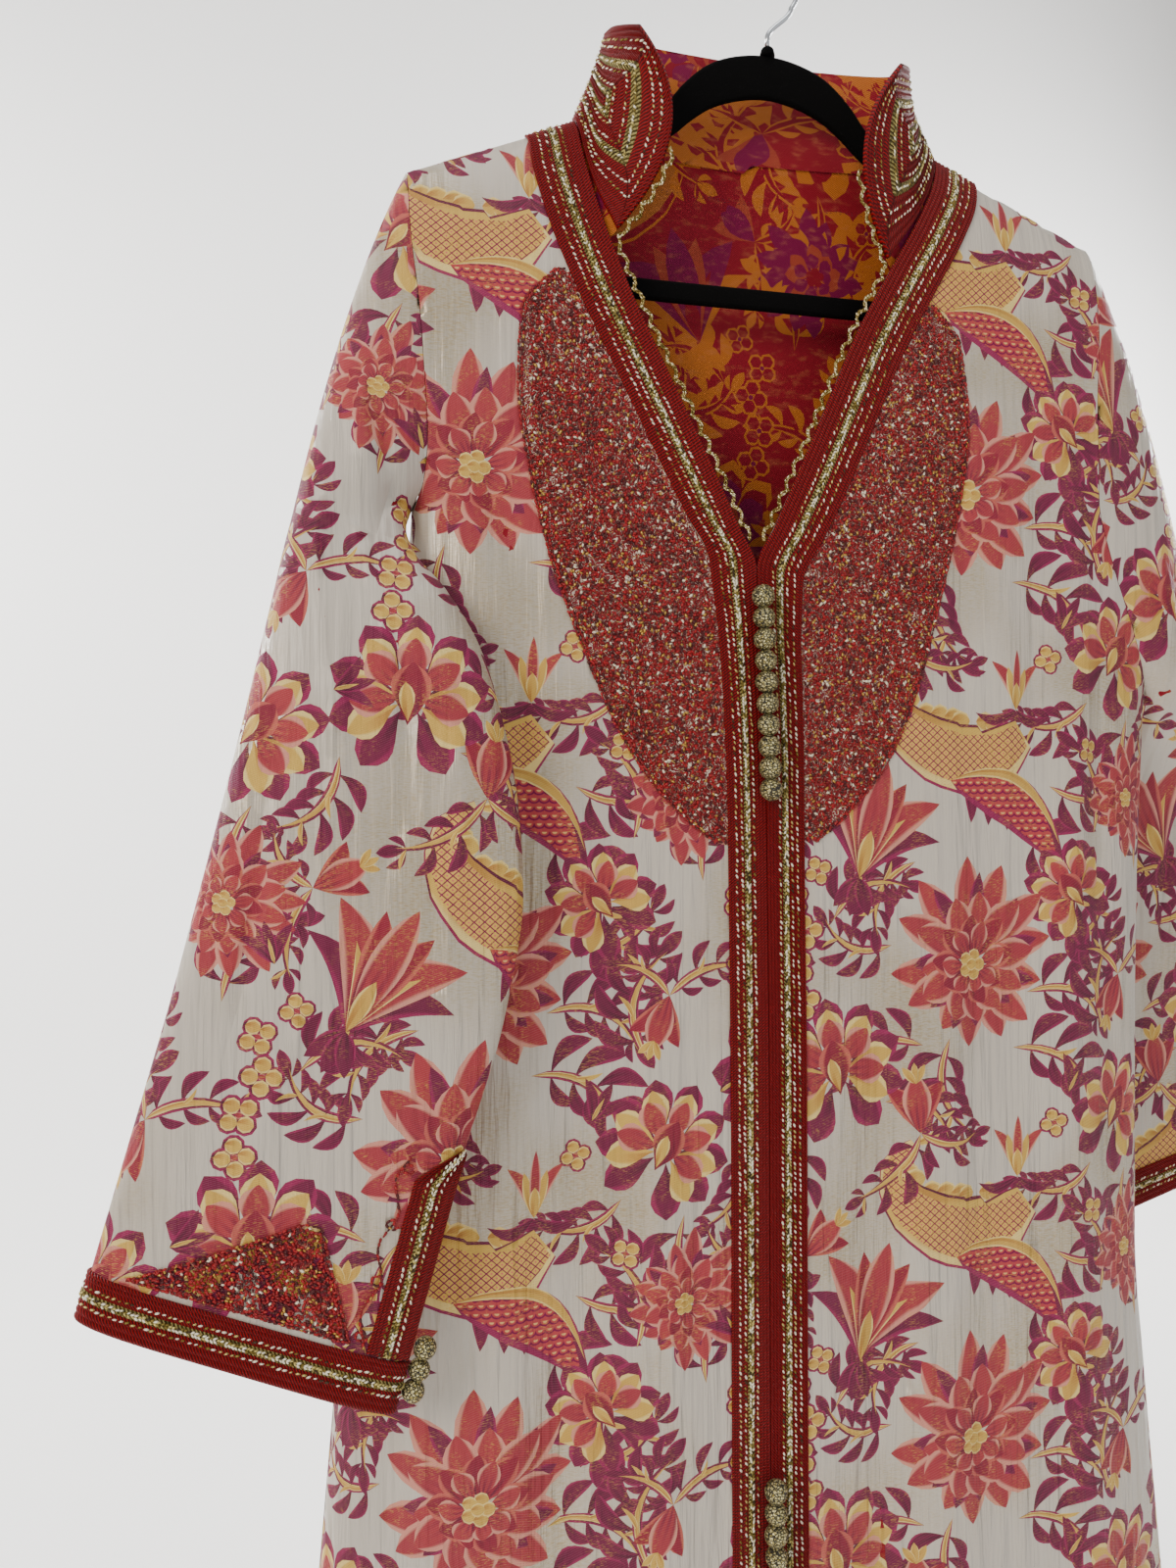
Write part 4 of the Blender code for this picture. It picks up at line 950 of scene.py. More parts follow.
class SleevePanel(Panel):
    """One layer of a sleeve: the upper one lies away from the body."""

    def __init__(self, side, layer, offset, turn):
        swing = FRONT if side == RIGHT else BACK
        low_x = -440.0 if side == RIGHT else 150.0
        super().__init__((0, swing * layer, 0), (low_x, -900.0), (low_x + 290, -160.0),
                         offset, turn, layer < 0)
        self.side = side
        self.layer = layer
        self.swing = swing
        self.rows = SLEEVE_RIGHT if side == RIGHT else SLEEVE_LEFT

    def ends(self, s):
        """Outer and inner end of the row at s: 0 to 1 is the head and 1 to 2 the tube."""
        name = side_name(self.side)
        head = np.clip(s, 0, 1)
        tube = np.clip(s - 1, 0, 1)
        outer_x = self.side * blend(HEAD_START_X, self.rows[0].out_x, head)
        head_outer = np.stack([outer_x, shoulder_z(outer_x)], -1)
        head_inner = np.stack([self.side * (read(ARMHOLE, head, "x_" + name) + GAP),
                               read(ARMHOLE, head, "z_" + name)], -1)
        tube_outer = np.stack([self.side * read(self.rows, tube, "out_x"),
                               read(self.rows, tube, "out_z")], -1)
        tube_inner = np.stack([self.side * read(self.rows, tube, "in_x"),
                               read(self.rows, tube, "in_z")], -1)
        is_head = (s <= 1)[:, None]
        return (np.where(is_head, head_outer, tube_outer),
                np.where(is_head, head_inner, tube_inner))

    def find(self, flat):
        """Row and place across of flat places."""
        low = np.full(len(flat), 0.0)
        high = np.full(len(flat), 2.0)
        for _ in range(26):
            middle = (low + high) / 2
            outer, inner = self.ends(middle)
            run = inner - outer
            side = flat - outer
            above = (run[:, 0] * side[:, 1] - run[:, 1] * side[:, 0]) * self.side < 0
            low = np.where(above, low, middle)
            high = np.where(above, middle, high)
        s = (low + high) / 2
        outer, inner = self.ends(s)
        run = inner - outer
        w = ((flat - outer) * run).sum(-1) / (run ** 2).sum(-1)
        return s, w

    def margins(self, s):
        """How far past both ends the flat places run."""
        outer, inner = self.ends(s)
        length = np.sqrt(((inner - outer) ** 2).sum(-1))
        return 10.0 / length, np.where(s < 0.95, 0.0, 8.0 / length)

    def settle(self, flat):
        s, w = self.find(flat)
        outer_margin, inner_margin = self.margins(s)
        kept = np.clip(w, -outer_margin, 1 + inner_margin)
        outer, inner = self.ends(s)
        moved = outer + (inner - outer) * kept[:, None]
        inside = (kept == w) & (s > 1e-5) & (s < 2 - 1e-5)
        return np.where(inside[:, None], flat, moved)

    def points(self, flat, lift=0.0):
        s, w = self.find(flat)
        return self.place(s, w, lift)

    def place(self, s, w, lift=0.0):
        outer_margin, inner_margin = self.margins(s)
        start = 0.09
        t = np.clip((w + outer_margin) / (start + outer_margin), 0, 1)
        real = np.where(w < start, start * (1 - np.cos(t * math.pi / 2)), w)
        t = np.clip((1 + inner_margin - w) / (start + inner_margin), 0, 1)
        real = np.where((w > 1 - start) & (inner_margin > 0),
                        1 - start * (1 - np.cos(t * math.pi / 2)), real)
        if not np.any(lift):
            return self.surface(s, real)
        step = 0.004
        here = self.surface(s, real)
        down = self.surface(np.clip(s + step, 0, 2), real) - self.surface(np.clip(s - step, 0, 2), real)
        side = self.surface(s, np.clip(real + step, 0, 1)) - self.surface(s, np.clip(real - step, 0, 1))
        normal = np.cross(down, side)
        normal /= np.maximum(np.sqrt((normal ** 2).sum(-1)), 1e-9)[:, None]
        sign = np.sign((normal * self.outward).sum(-1))
        return here + normal * (sign * lift)[:, None]

    def surface(self, s, w):
        head = np.clip(s, 0, 1)
        tube = np.clip(s - 1, 0, 1)
        face = self.swing * self.layer
        outer, inner = self.ends(s)
        flat = outer + (inner - outer) * w[:, None]
        hole_x = inner[:, 0]
        hole_z = inner[:, 1]
        rounding = blend(1.0, side_rounding(hole_x, hole_z), w ** 4)
        depth = roll_over(face, flat[:, 0], flat[:, 1]) * rounding
        forward = self.rows[0].out_y * head ** 2 * (1 - w)
        head_y = face * depth + self.swing * forward
        middle = blend(read(self.rows, tube, "out_y"), read(self.rows, tube, "in_y"), w)
        thick = read(self.rows, tube, "upper" if self.layer > 0 else "under") * self.layer
        bulge = np.sqrt(np.maximum(0.0, 1 - np.abs(2 * w - 1) ** SLEEVE_SQUARENESS))
        tube_y = self.swing * (middle + thick * bulge)
        y = np.where(s <= 1, head_y, tube_y)
        height = np.zeros_like(w)
        for c in SLEEVE_CREASES:
            if c.layer == self.layer:
                height += ridge(w * 2.2, s, c.w1 * 2.2, c.s1, c.w2 * 2.2, c.s2, c.width,
                                c.height * CREASE_DEPTH)
        edge = np.clip(np.minimum(w, 1 - w) / 0.12, 0, 1) * np.clip(s / 0.3, 0, 1)
        return np.stack([flat[:, 0], y + face * height * edge, flat[:, 1]], -1)


def weave_panel(panel, cut):
    """Points, triangles, kinds, petals and tones of a panel covered in repeats of the cut."""
    places, triangles, kinds, petals, tones = cut
    cos = math.cos(panel.turn)
    sin = math.sin(panel.turn)
    turn = np.array([[cos, sin], [-sin, cos]])
    corners = np.array([(x, z) for x in (panel.low[0], panel.high[0])
                        for z in (panel.low[1], panel.high[1])])
    spread = (corners - np.array(panel.offset)) @ turn.T
    if panel.mirror:
        spread[:, 0] *= -1
    first = np.floor(spread.min(axis=0) / (TILE_W, TILE_H)).astype(int)
    last = np.ceil(spread.max(axis=0) / (TILE_W, TILE_H)).astype(int)
    found = []
    count = 0
    for i in range(first[0], last[0]):
        for j in range(first[1], last[1]):
            moved = places + np.array([i * TILE_W, j * TILE_H])
            if panel.mirror:
                moved = moved * np.array([-1, 1])
            flat = moved @ turn + np.array(panel.offset)
            settled = panel.settle(flat)
            inside = np.abs(settled - flat).sum(-1) < 1e-6
            keep = inside[triangles].any(axis=1)
            if not keep.any():
                continue
            kept = triangles[keep]
            a, b, c = (settled[kept[:, k]] for k in range(3))
            area = np.abs((b[:, 0] - a[:, 0]) * (c[:, 1] - a[:, 1])
                          - (b[:, 1] - a[:, 1]) * (c[:, 0] - a[:, 0]))
            solid = area > 0.01
            kept = kept[solid]
            used, index = np.unique(kept, return_inverse=True)
            found.append((settled[used], index.reshape(kept.shape) + count, kinds[keep][solid],
                          petals[keep][solid], tones[keep][solid]))
            count += len(used)
    return [np.concatenate(column) for column in zip(*found)]


def turned_with(points, triangles, normals):
    """Triangles turned so that they agree with a direction, or with one for each point."""
    a, b, c = (points[triangles[:, k]] for k in range(3))
    normals = np.broadcast_to(normals, points.shape)
    agreement = (np.cross(b - a, c - a) * normals[triangles[:, 0]]).sum()
    return triangles if agreement > 0 else triangles[:, ::-1]


def new_object(name, data):
    item = bpy.data.objects.new(name, data)
    bpy.context.scene.collection.objects.link(item)
    return item


def store(mesh, name, kind, domain, values):
    """Keep an array on a mesh as a named attribute."""
    data = mesh.attributes.new(name, kind, domain).data
    data.foreach_set("vector" if kind == "FLOAT_VECTOR" else "value",
                     values.astype(np.float32).ravel())


def mesh_from(name, points, triangles, materials, kinds=None, petals=None, tones=None):
    """Object with a mesh made from arrays in millimetres."""
    mesh = bpy.data.meshes.new(name)
    mesh.vertices.add(len(points))
    mesh.vertices.foreach_set("co", (points * MM).astype(np.float32).ravel())
    mesh.loops.add(triangles.size)
    mesh.loops.foreach_set("vertex_index", triangles.astype(np.int32).ravel())
    mesh.polygons.add(len(triangles))
    mesh.polygons.foreach_set("loop_start", np.arange(0, triangles.size, 3, dtype=np.int32))
    if kinds is not None:
        mesh.polygons.foreach_set("material_index", kinds.astype(np.int32))
    if petals is not None:
        store(mesh, "petal", "FLOAT_VECTOR", "CORNER", petals)
        store(mesh, "tone", "FLOAT", "FACE", tones)
    mesh.update(calc_edges=True)
    mesh.validate()
    mesh.shade_smooth()
    for material in materials:
        mesh.materials.append(material)
    return new_object(name, mesh)


# Materials

def srgb(code):
    """Linear colour of a hex code."""
    values = [int(code[k:k + 2], 16) / 255 for k in (1, 3, 5)]
    linear = [v / 12.92 if v <= 0.04045 else ((v + 0.055) / 1.055) ** 2.4 for v in values]
    return (*linear, 1.0)


def fill_socket(tree, socket, value):
    if isinstance(value, bpy.types.NodeSocket):
        tree.links.new(value, socket)
    elif value is not None:
        socket.default_value = value


def add_node(tree, kind, inputs=(), **settings):
    """New node with its settings, and its inputs filled with values or links."""
    made = tree.nodes.new(kind)
    for key, value in settings.items():
        setattr(made, key, value)
    for place, value in dict(inputs).items():
        fill_socket(tree, made.inputs[place], value)
    return made


class Build:
    """Short way to add and join shader nodes."""

    def __init__(self, name, roughness=0.6, metallic=0.0):
        self.material = bpy.data.materials.new(name)
        self.material.use_nodes = True
        self.tree = self.material.node_tree
        self.shader = self.tree.nodes["Principled BSDF"]
        self.shader.inputs["Roughness"].default_value = roughness
        self.shader.inputs["Metallic"].default_value = metallic

    def node(self, kind, inputs=(), **settings):
        return add_node(self.tree, kind, inputs, **settings)

    def math(self, operation, a, b=None):
        return self.node("ShaderNodeMath", {0: a, 1: b}, operation=operation).outputs[0]

    def mix(self, factor, a, b):
        return self.node("ShaderNodeMix", {0: factor, 6: a, 7: b}, data_type="RGBA").outputs[2]

    def step(self, value, low, high, to_low=0.0, to_high=1.0):
        made = self.node("ShaderNodeMapRange", {0: value, 1: low, 2: high, 3: to_low, 4: to_high},
                         interpolation_type="SMOOTHSTEP")
        return made.outputs[0]

    def place(self, scale_x=1.0, scale_y=1.0, scale_z=1.0):
        """Object place in millimetres, times a scale for each axis."""
        where = self.node("ShaderNodeTexCoord").outputs["Object"]
        made = self.node("ShaderNodeVectorMath", {0: where}, operation="MULTIPLY")
        made.inputs[1].default_value = (scale_x / MM, scale_y / MM, scale_z / MM)
        return made.outputs[0]

    def noise(self, vector, detail, distortion=0.0):
        made = self.node("ShaderNodeTexNoise", {"Vector": vector, "Scale": 1.0, "Detail": detail,
                                                "Distortion": distortion})
        return made.outputs["Fac"]

    def bump(self, height, distance, strength):
        made = self.node("ShaderNodeBump", {"Height": height, "Distance": distance * MM,
                                            "Strength": strength})
        return made.outputs["Normal"]

    def finish(self, color=None, roughness=None, metallic=None, normal=None, specular=None):
        filled = {"Base Color": color, "Roughness": roughness, "Metallic": metallic,
                  "Normal": normal, "Specular IOR Level": specular}
        for name, value in filled.items():
            fill_socket(self.tree, self.shader.inputs[name], value)
        return self.material


# Height of the crinkles on the woven pattern and on the bare ground
PATTERN_CRINKLE = 2.0
GROUND_CRINKLE = 2.6
# Distance and strength of the cloth's bump
CLOTH_BUMP = (1.6, 0.9)
GLINT_COLOR = "#C9A04A"
NET_MESH = 6.0
SCALE_WIDE = 6.0
SCALE_HIGH = 5.0


def crinkle(b, amount):
    """Height of the fine upright crinkles of the cloth and of its weft ribs."""
    upright = b.noise(b.place(1 / 5.5, 0.02, 1 / 90), 3.0, 0.4)
    sharp = b.math("POWER", upright, 1.6)
    broad = b.noise(b.place(1 / 22, 0.02, 1 / 160), 2.0, 0.6)
    low = b.node("ShaderNodeSeparateXYZ", {0: b.place()}).outputs[2]
    grow = b.step(low, -300.0, -900.0, 0.45, 1.0)
    total = b.math("ADD", b.math("MULTIPLY", sharp, 0.9), b.math("MULTIPLY", broad, 1.3))
    return b.math("MULTIPLY", b.math("MULTIPLY", total, grow), amount)


def glint(b):
    """Short bright dashes of gold thread along the weft."""
    grain = b.noise(b.place(1 / 2.4, 0.3, 1 / 0.42), 1.0)
    patch = b.noise(b.place(1 / 16, 0.06, 1 / 16), 2.0)
    return b.math("MULTIPLY", b.step(grain, 0.56, 0.66), b.step(patch, 0.42, 0.62))


def ground_material(name, tint, sheen_tint):
    """Ivory satin ground with a sheen of gold thread."""
    b = Build(name, 0.36)
    patch = b.noise(b.place(1 / 120, 1 / 120, 1 / 150), 3.0)
    lurex = b.step(patch, 0.42, 0.66)
    thread = b.noise(b.place(1 / 3.0, 0.3, 1 / 0.5), 2.0)
    color = b.mix(b.math("MULTIPLY", lurex, b.step(thread, 0.35, 0.75, 0.15, 0.75)),
                  srgb(tint), srgb(sheen_tint))
    normal = b.bump(crinkle(b, GROUND_CRINKLE), *CLOTH_BUMP)
    return b.finish(color, b.step(thread, 0.3, 0.7, 0.3, 0.46), b.math("MULTIPLY", lurex, 0.42),
                    normal, specular=0.4)


def petal_material(name, body, deep, edge, gold, veins):
    """Woven petal: veins from its base, a paler edge and glints of gold thread."""
    b = Build(name, 0.5)
    petal = b.node("ShaderNodeAttribute", attribute_name="petal").outputs["Vector"]
    tone = b.node("ShaderNodeAttribute", attribute_name="tone").outputs["Fac"]
    parts = b.node("ShaderNodeSeparateXYZ", {0: petal})
    along = b.math("MINIMUM", b.math("MAXIMUM", parts.outputs[0], 0.0), 1.0)
    bow = b.math("MULTIPLY", b.math("MULTIPLY", along, b.math("SUBTRACT", 1.0, along)), 4.0)
    across = b.math("SUBTRACT", parts.outputs[1], b.math("MULTIPLY", bow, parts.outputs[2]))
    wide = b.math("POWER", b.math("SINE", b.math("MULTIPLY", along, math.pi)), 0.7)
    share = b.math("DIVIDE", b.math("ABSOLUTE", across), b.math("MAXIMUM", wide, 0.08))
    rays = b.math("SINE", b.math("MULTIPLY", b.math("DIVIDE", across, b.math("ADD", wide, 0.25)),
                                 veins * math.pi))
    near = b.step(along, 0.82, 0.12)
    stripe = b.math("MULTIPLY", b.step(rays, -0.15, 0.45), near)
    color = b.mix(b.math("MULTIPLY", tone, 0.3), srgb(body), srgb(deep))
    color = b.mix(b.math("MULTIPLY", stripe, 0.75), color, srgb(deep))
    rim = b.step(share, 0.62, 0.86)
    color = b.mix(b.math("MULTIPLY", rim, 0.85), color, srgb(edge))
    spark = b.math("MULTIPLY", glint(b), gold)
    color = b.mix(spark, color, srgb(GLINT_COLOR))
    thread = b.node("ShaderNodeSeparateXYZ", {0: b.place(2.2, 1, 6.4)})
    twill = b.math("SINE", b.math("ADD", thread.outputs[0], thread.outputs[2]))
    color = b.mix(b.math("MULTIPLY", b.step(twill, 0.2, 0.9), 0.07), color, srgb("#F0E2D2"))
    height = b.math("ADD", crinkle(b, PATTERN_CRINKLE), b.math("MULTIPLY", twill, 0.05))
    height = b.math("SUBTRACT", height, b.math("MULTIPLY", rim, 0.12))
    return b.finish(color, b.step(spark, 0.0, 1.0, 0.52, 0.25), b.math("MULTIPLY", spark, 0.9),
                    b.bump(height, *CLOTH_BUMP), specular=0.2)


def net_material(name, ground, line):
    """Net of crossed lines on the horn, with a dot in each mesh."""
    b = Build(name, 0.45)
    parts = b.node("ShaderNodeSeparateXYZ", {0: b.place()})
    lines = []
    for sign in (1, -1):
        run = b.math("ADD", parts.outputs[0], b.math("MULTIPLY", parts.outputs[2], sign * 1.15))
        wave = b.math("ABSOLUTE", b.math("SINE", b.math("MULTIPLY", run, math.pi / NET_MESH)))
        lines.append(wave)
    net = b.step(b.math("MINIMUM", *lines), 0.34, 0.22)
    dots = b.step(b.math("MULTIPLY", *lines), 0.86, 0.93)
    color = b.mix(net, srgb(ground), srgb(line))
    color = b.mix(dots, color, srgb("#C65F5E"))
    spark = b.math("MULTIPLY", glint(b), 0.8)
    color = b.mix(spark, color, srgb("#CDA44B"))
    return b.finish(color, 0.45, b.math("MULTIPLY", spark, 0.85),
                    b.bump(crinkle(b, PATTERN_CRINKLE), *CLOTH_BUMP), specular=0.2)


def scale_material(name, body, line):
    """Overlapping scales in rows across the leaf."""
    b = Build(name, 0.5)
    parts = b.node("ShaderNodeSeparateXYZ", {0: b.place()})
    column = b.math("DIVIDE", parts.outputs[0], SCALE_WIDE)
    row = b.math("DIVIDE", parts.outputs[2], SCALE_HIGH)
    shift = b.math("MULTIPLY", b.math("MODULO", b.math("FLOOR", row), 2.0), 0.5)
    fx = b.math("SUBTRACT", b.math("FRACT", b.math("ADD", column, shift)), 0.5)
    fy = b.math("FRACT", row)
    fall = b.math("SUBTRACT", fy, 1.0)
    reach = b.math("SQRT", b.math("ADD", b.math("MULTIPLY", fx, fx), b.math("MULTIPLY", fall, fall)))
    arc = b.step(b.math("ABSOLUTE", b.math("SUBTRACT", reach, 0.55)), 0.15, 0.05)
    color = b.mix(arc, srgb(body), srgb(line))
    core = b.step(reach, 0.3, 0.18)
    color = b.mix(b.math("MULTIPLY", core, 0.7), color, srgb("#E0BE72"))
    spark = b.math("MULTIPLY", glint(b), 0.6)
    color = b.mix(spark, color, srgb(GLINT_COLOR))
    return b.finish(color, 0.5, b.math("MULTIPLY", spark, 0.8),
                    b.bump(crinkle(b, PATTERN_CRINKLE), *CLOTH_BUMP), specular=0.2)


def reverse_material(name, body):
    """Reverse of the brocade: a flat twill of floating threads."""
    b = Build(name, 0.7)
    parts = b.node("ShaderNodeSeparateXYZ", {0: b.place(3.0, 1, 5.2)})
    twill = b.math("SINE", b.math("ADD", parts.outputs[0], parts.outputs[2]))
    patch = b.noise(b.place(1 / 9, 0.1, 1 / 4), 3.0)
    color = b.mix(b.math("MULTIPLY", b.step(twill, -0.4, 0.8), 0.5), srgb(body), srgb("#6E1426"))
    color = b.mix(b.step(patch, 0.5, 0.8, 0.0, 0.35), color, srgb("#C0764A"))
    return b.finish(color, 0.72, 0.0, b.bump(twill, 0.25, 0.8), specular=0.15)


CLOTH_FACE = [
    ground_material("ivory_ground", "#B9B0A4", "#9C8448"),
    petal_material("magenta_leaf", "#6C0238", "#420122", "#8A0C4A", 0.4, 3.0),
    petal_material("coral_petal", "#9E2E36", "#6A0630", "#CC8C7A", 0.5, 5.0),
    petal_material("yellow_petal", "#C7A24A", "#9C6226", "#DCC47C", 0.65, 2.0),
    petal_material("rose_petal", "#860E2C", "#54022A", "#B85A4C", 0.5, 5.0),
    net_material("net_of_the_horn", "#C9A24E", "#760A46"),
    scale_material("scaled_leaf", "#A63C40", "#6E083E"),
]
CLOTH_REVERSE = [
    reverse_material("reverse_ground", "#8E1424"),
    reverse_material("reverse_of_magenta", "#C07028"),
    reverse_material("reverse_of_coral", "#7A0C42"),
    reverse_material("reverse_of_yellow", "#8A1224"),
    reverse_material("reverse_of_rose", "#A4452E"),
    reverse_material("reverse_of_net", "#B06A2C"),
    reverse_material("reverse_of_scales", "#740E3E"),
]


def braid_material(name, body, deep, roughness=0.55, metallic=0.0, pitch=1.8, flecks=0.0):
    """Couched silk or gold cords: slanted plies along each row, with painted shade in the hollows
    between the plies.
    """
    b = Build(name, roughness, metallic)
    lay = b.node("ShaderNodeAttribute", attribute_name="lay").outputs["Vector"]
    parts = b.node("ShaderNodeSeparateXYZ", {0: lay})
    slant = b.math("ADD", parts.outputs[1], b.math("MULTIPLY", parts.outputs[0], 0.9))
    ply = b.math("SINE", b.math("MULTIPLY", slant, 2 * math.pi / pitch))
    grain = b.noise(b.place(1 / 0.9, 1 / 0.9, 1 / 0.9), 2.0)
    # painted shade: the deep colour fills the hollows between the plies, where the bump is low
    color = b.mix(b.step(ply, -0.7, 0.6), srgb(deep), srgb(body))
    color = b.mix(b.step(grain, 0.42, 0.68, 0.0, 0.4), color, srgb(deep))
    if flecks:
        spots = b.noise(b.place(1 / 1.5, 1 / 1.5, 1 / 1.5), 1.0)
        color = b.mix(b.math("MULTIPLY", b.step(spots, 0.52, 0.6), flecks), color, srgb("#191307"))
    height = b.math("ADD", ply, b.math("MULTIPLY", grain, 1.2))
    return b.finish(color, None, None, b.bump(height, 0.35, 0.9), specular=0.2)


Tint = namedtuple("Tint", "start color metallic roughness")


def thread_material(name, tints):
    """Stitches whose colour follows the tone of each one, from 0 to 1."""
    b = Build(name)
    tone = b.node("ShaderNodeAttribute", attribute_name="tone").outputs["Fac"]
    color = srgb(tints[0].color)
    metallic = tints[0].metallic
    roughness = tints[0].roughness
    for tint in tints[1:]:
        here = b.math("GREATER_THAN", tone, tint.start)
        color = b.mix(here, color, srgb(tint.color))
        more = b.math("MULTIPLY", b.math("SUBTRACT", tint.metallic, metallic), here)
        metallic = b.math("ADD", metallic, more)
        change = b.math("MULTIPLY", b.math("SUBTRACT", tint.roughness, roughness), here)
        roughness = b.math("ADD", roughness, change)
    grain = b.noise(b.place(1 / 0.5, 1 / 0.5, 1 / 0.5), 1.0)
    return b.finish(color, roughness, metallic, b.bump(grain, 0.3, 0.7))


def couched_material(name, line, gap, gold):
    """Close curls of red thread with a little of the cloth and of gold thread between them."""
    b = Build(name, 0.6)
    curls = b.noise(b.place(1 / 5.2, 1 / 5.2, 1 / 5.2), 2.0, 0.4)
    wave = b.math("SINE", b.math("MULTIPLY", curls, 46.0))
    color = b.mix(b.step(wave, 0.55, 0.9), srgb(line), srgb(gap))
    specks = b.noise(b.place(1 / 1.3, 1 / 1.3, 1 / 1.3), 1.0, 0.5)
    color = b.mix(b.step(specks, 0.62, 0.68), color, srgb(gold))
    shade = b.noise(b.place(1 / 30, 1 / 30, 1 / 30), 2.0, 0.5)
    color = b.mix(b.math("MULTIPLY", b.step(shade, 0.35, 0.7), 0.4), color, srgb("#5A020A"))
    return b.finish(color, None, None, b.bump(wave, 0.6, 0.9))


def ball_material():
    """Knotted gold thread: strands painted paler where they stand higher, with painted shade, near
    black, in the gaps between them.
    """
    b = Build("gold_thread_ball", 0.38, 0.75)
    cells = b.node("ShaderNodeTexVoronoi", {"Vector": b.place(1 / 2.3, 1 / 2.3, 1 / 1.7),
                                            "Scale": 1.0}, feature="DISTANCE_TO_EDGE")
    # painted shade: near black in the gaps between the strands, where the bump is lowest
    gap = b.step(cells.outputs["Distance"], 0.16, 0.04)
    grain = b.noise(b.place(1 / 0.8, 1 / 0.8, 1 / 0.8), 2.0)
    # painted highlight: the strands are paler where the bump stands higher
    color = b.mix(b.step(grain, 0.38, 0.62), srgb("#8C7B33"), srgb("#E5DDAA"))
    color = b.mix(gap, color, srgb("#120E05"))
    height = b.math("SUBTRACT", grain, b.math("MULTIPLY", gap, 1.4))
    return b.finish(color, None, b.math("SUBTRACT", 0.75, b.math("MULTIPLY", gap, 0.7)),
                    b.bump(height, 0.7, 1.0))


def velvet_material():
    """Black flocking on the hanger."""
    b = Build("black_flock", 0.92)
    fuzz = b.noise(b.place(1 / 0.7, 1 / 0.7, 1 / 0.7), 3.0)
    color = b.mix(fuzz, srgb("#000000"), srgb("#050404"))
    return b.finish(color, None, None, b.bump(fuzz, 0.3, 0.6), specular=0.1)


BRAID_RED = braid_material("red_silk_braid", "#8E0206", "#420103")
BRAID_GOLD = braid_material("gold_braid", "#A89A60", "#4A3C14", 0.4, 0.55, 2.2, 0.6)
DASH_THREAD = thread_material("gold_and_white_dashes", (
    Tint(0.0, "#7E6C30", 0.6, 0.35),
    Tint(0.22, "#C4B46E", 0.6, 0.3),
    Tint(0.48, "#F2EBD2", 0.3, 0.28),
    Tint(0.92, "#3A2A12", 0.3, 0.5),
))
CHAIN_THREAD = thread_material("red_and_gold_chain_stitch", (
    Tint(0.0, "#480408", 0.0, 0.6),
    Tint(0.20, "#7A040A", 0.0, 0.55),
    Tint(0.58, "#980E14", 0.0, 0.5),
    Tint(0.86, "#C49A4C", 0.6, 0.3),
    Tint(0.95, "#E6DAC0", 0.2, 0.35),
))
COUCHED_GROUND = couched_material("couched_ground", "#7E0410", "#C8B8A8", "#B89454")
GOLD_CORD = thread_material("gold_picot_thread", (
    Tint(0.0, "#7C6A33", 0.75, 0.35),
    Tint(0.35, "#B5A368", 0.8, 0.3),
    Tint(0.72, "#E4DAB0", 0.7, 0.28),
))
SEAM_THREAD = thread_material("dark_red_sewing_thread", (Tint(0.0, "#4C0A1A", 0.0, 0.7),))
BALL_THREAD = ball_material()
VELVET = velvet_material()
STEEL = Build("polished_steel", 0.22, 1.0).finish(srgb("#C9CBCE"))


# Trims laid on the cloth

Row = namedtuple("Row", "share kind cords")
# Rows of the wide braid, from its outer edge to the edge of the opening
FRONT_BRAID = (
    Row(0.13, "plain", 2),
    Row(0.15, "dash", 1),
    Row(0.14, "dash", 1),
    Row(0.17, "gold", 1),
    Row(0.15, "dash", 1),
    Row(0.26, "plain", 3),
)
# Rows of the cuff and slit braid, from the sleeve's side to the open edge
CUFF_BRAID = (
    Row(0.18, "plain", 2),
    Row(0.20, "dash", 1),
    Row(0.18, "gold", 1),
    Row(0.16, "dash", 1),
    Row(0.28, "plain", 2),
)
# Rows of the collar, from its edges in to the middle
COLLAR_BRAID = (
    Row(0.14, "plain", 2),
    Row(0.10, "dash", 1),
    Row(0.10, "dash", 1),
    Row(0.08, "plain", 1),
    Row(0.12, "gold", 1),
    Row(0.10, "dash", 1),
    Row(0.07, "plain", 1),
    Row(0.10, "dash", 1),
    Row(0.12, "gold", 1),
    Row(0.07, "plain", 1),
)
# Distance from stitch to stitch on the rows that have them
ROW_PITCH = (("dash", 3.3), ("gold", 2.0))
# Length, width and height of one stitch
DASH_SIZE = (2.8, 1.35, 1.2)
CHAIN_SIZE = (2.9, 1.6, 1.1)
PICOT_SIZE = (2.2, 1.3, 1.3)
SEAM_SIZE = (2.8, 0.6, 0.5)
FORWARD = np.array([0.0, -1.0, 0.0])
BRAID_BASE = 1.1
CORD_RISE = 0.9
CORD_STEPS = 4


def braid_profile(rows):
    """Places across a braid, from 0 to 1, with the height and the row's number at each."""
    places = [0.0]
    heights = [BRAID_BASE]
    numbers = [0]
    start = 0.0
    for number, row in enumerate(rows):
        rise = CORD_RISE * (1.25 if row.kind == "gold" else 1.0)
        for cord in range(row.cords):
            for k in range(1, CORD_STEPS + 1):
                t = k / CORD_STEPS
                places.append(start + row.share * (cord + t) / row.cords)
                heights.append(BRAID_BASE + rise * math.sin(math.pi * t) ** 0.8)
                numbers.append(number)
        start += row.share
    total = places[-1]
    return np.array(places) / total, np.array(heights), np.array(numbers)


def middles(rows, kinds):
    """Middle of each row of the given kinds, as a place across the braid."""
    total = sum(row.share for row in rows)
    found = []
    start = 0.0
    for row in rows:
        if row.kind in kinds:
            found.append((start + row.share / 2) / total)
        start += row.share
    return found


def unit(vectors):
    return vectors / np.maximum(np.linalg.norm(vectors, axis=-1, keepdims=True), 1e-9)


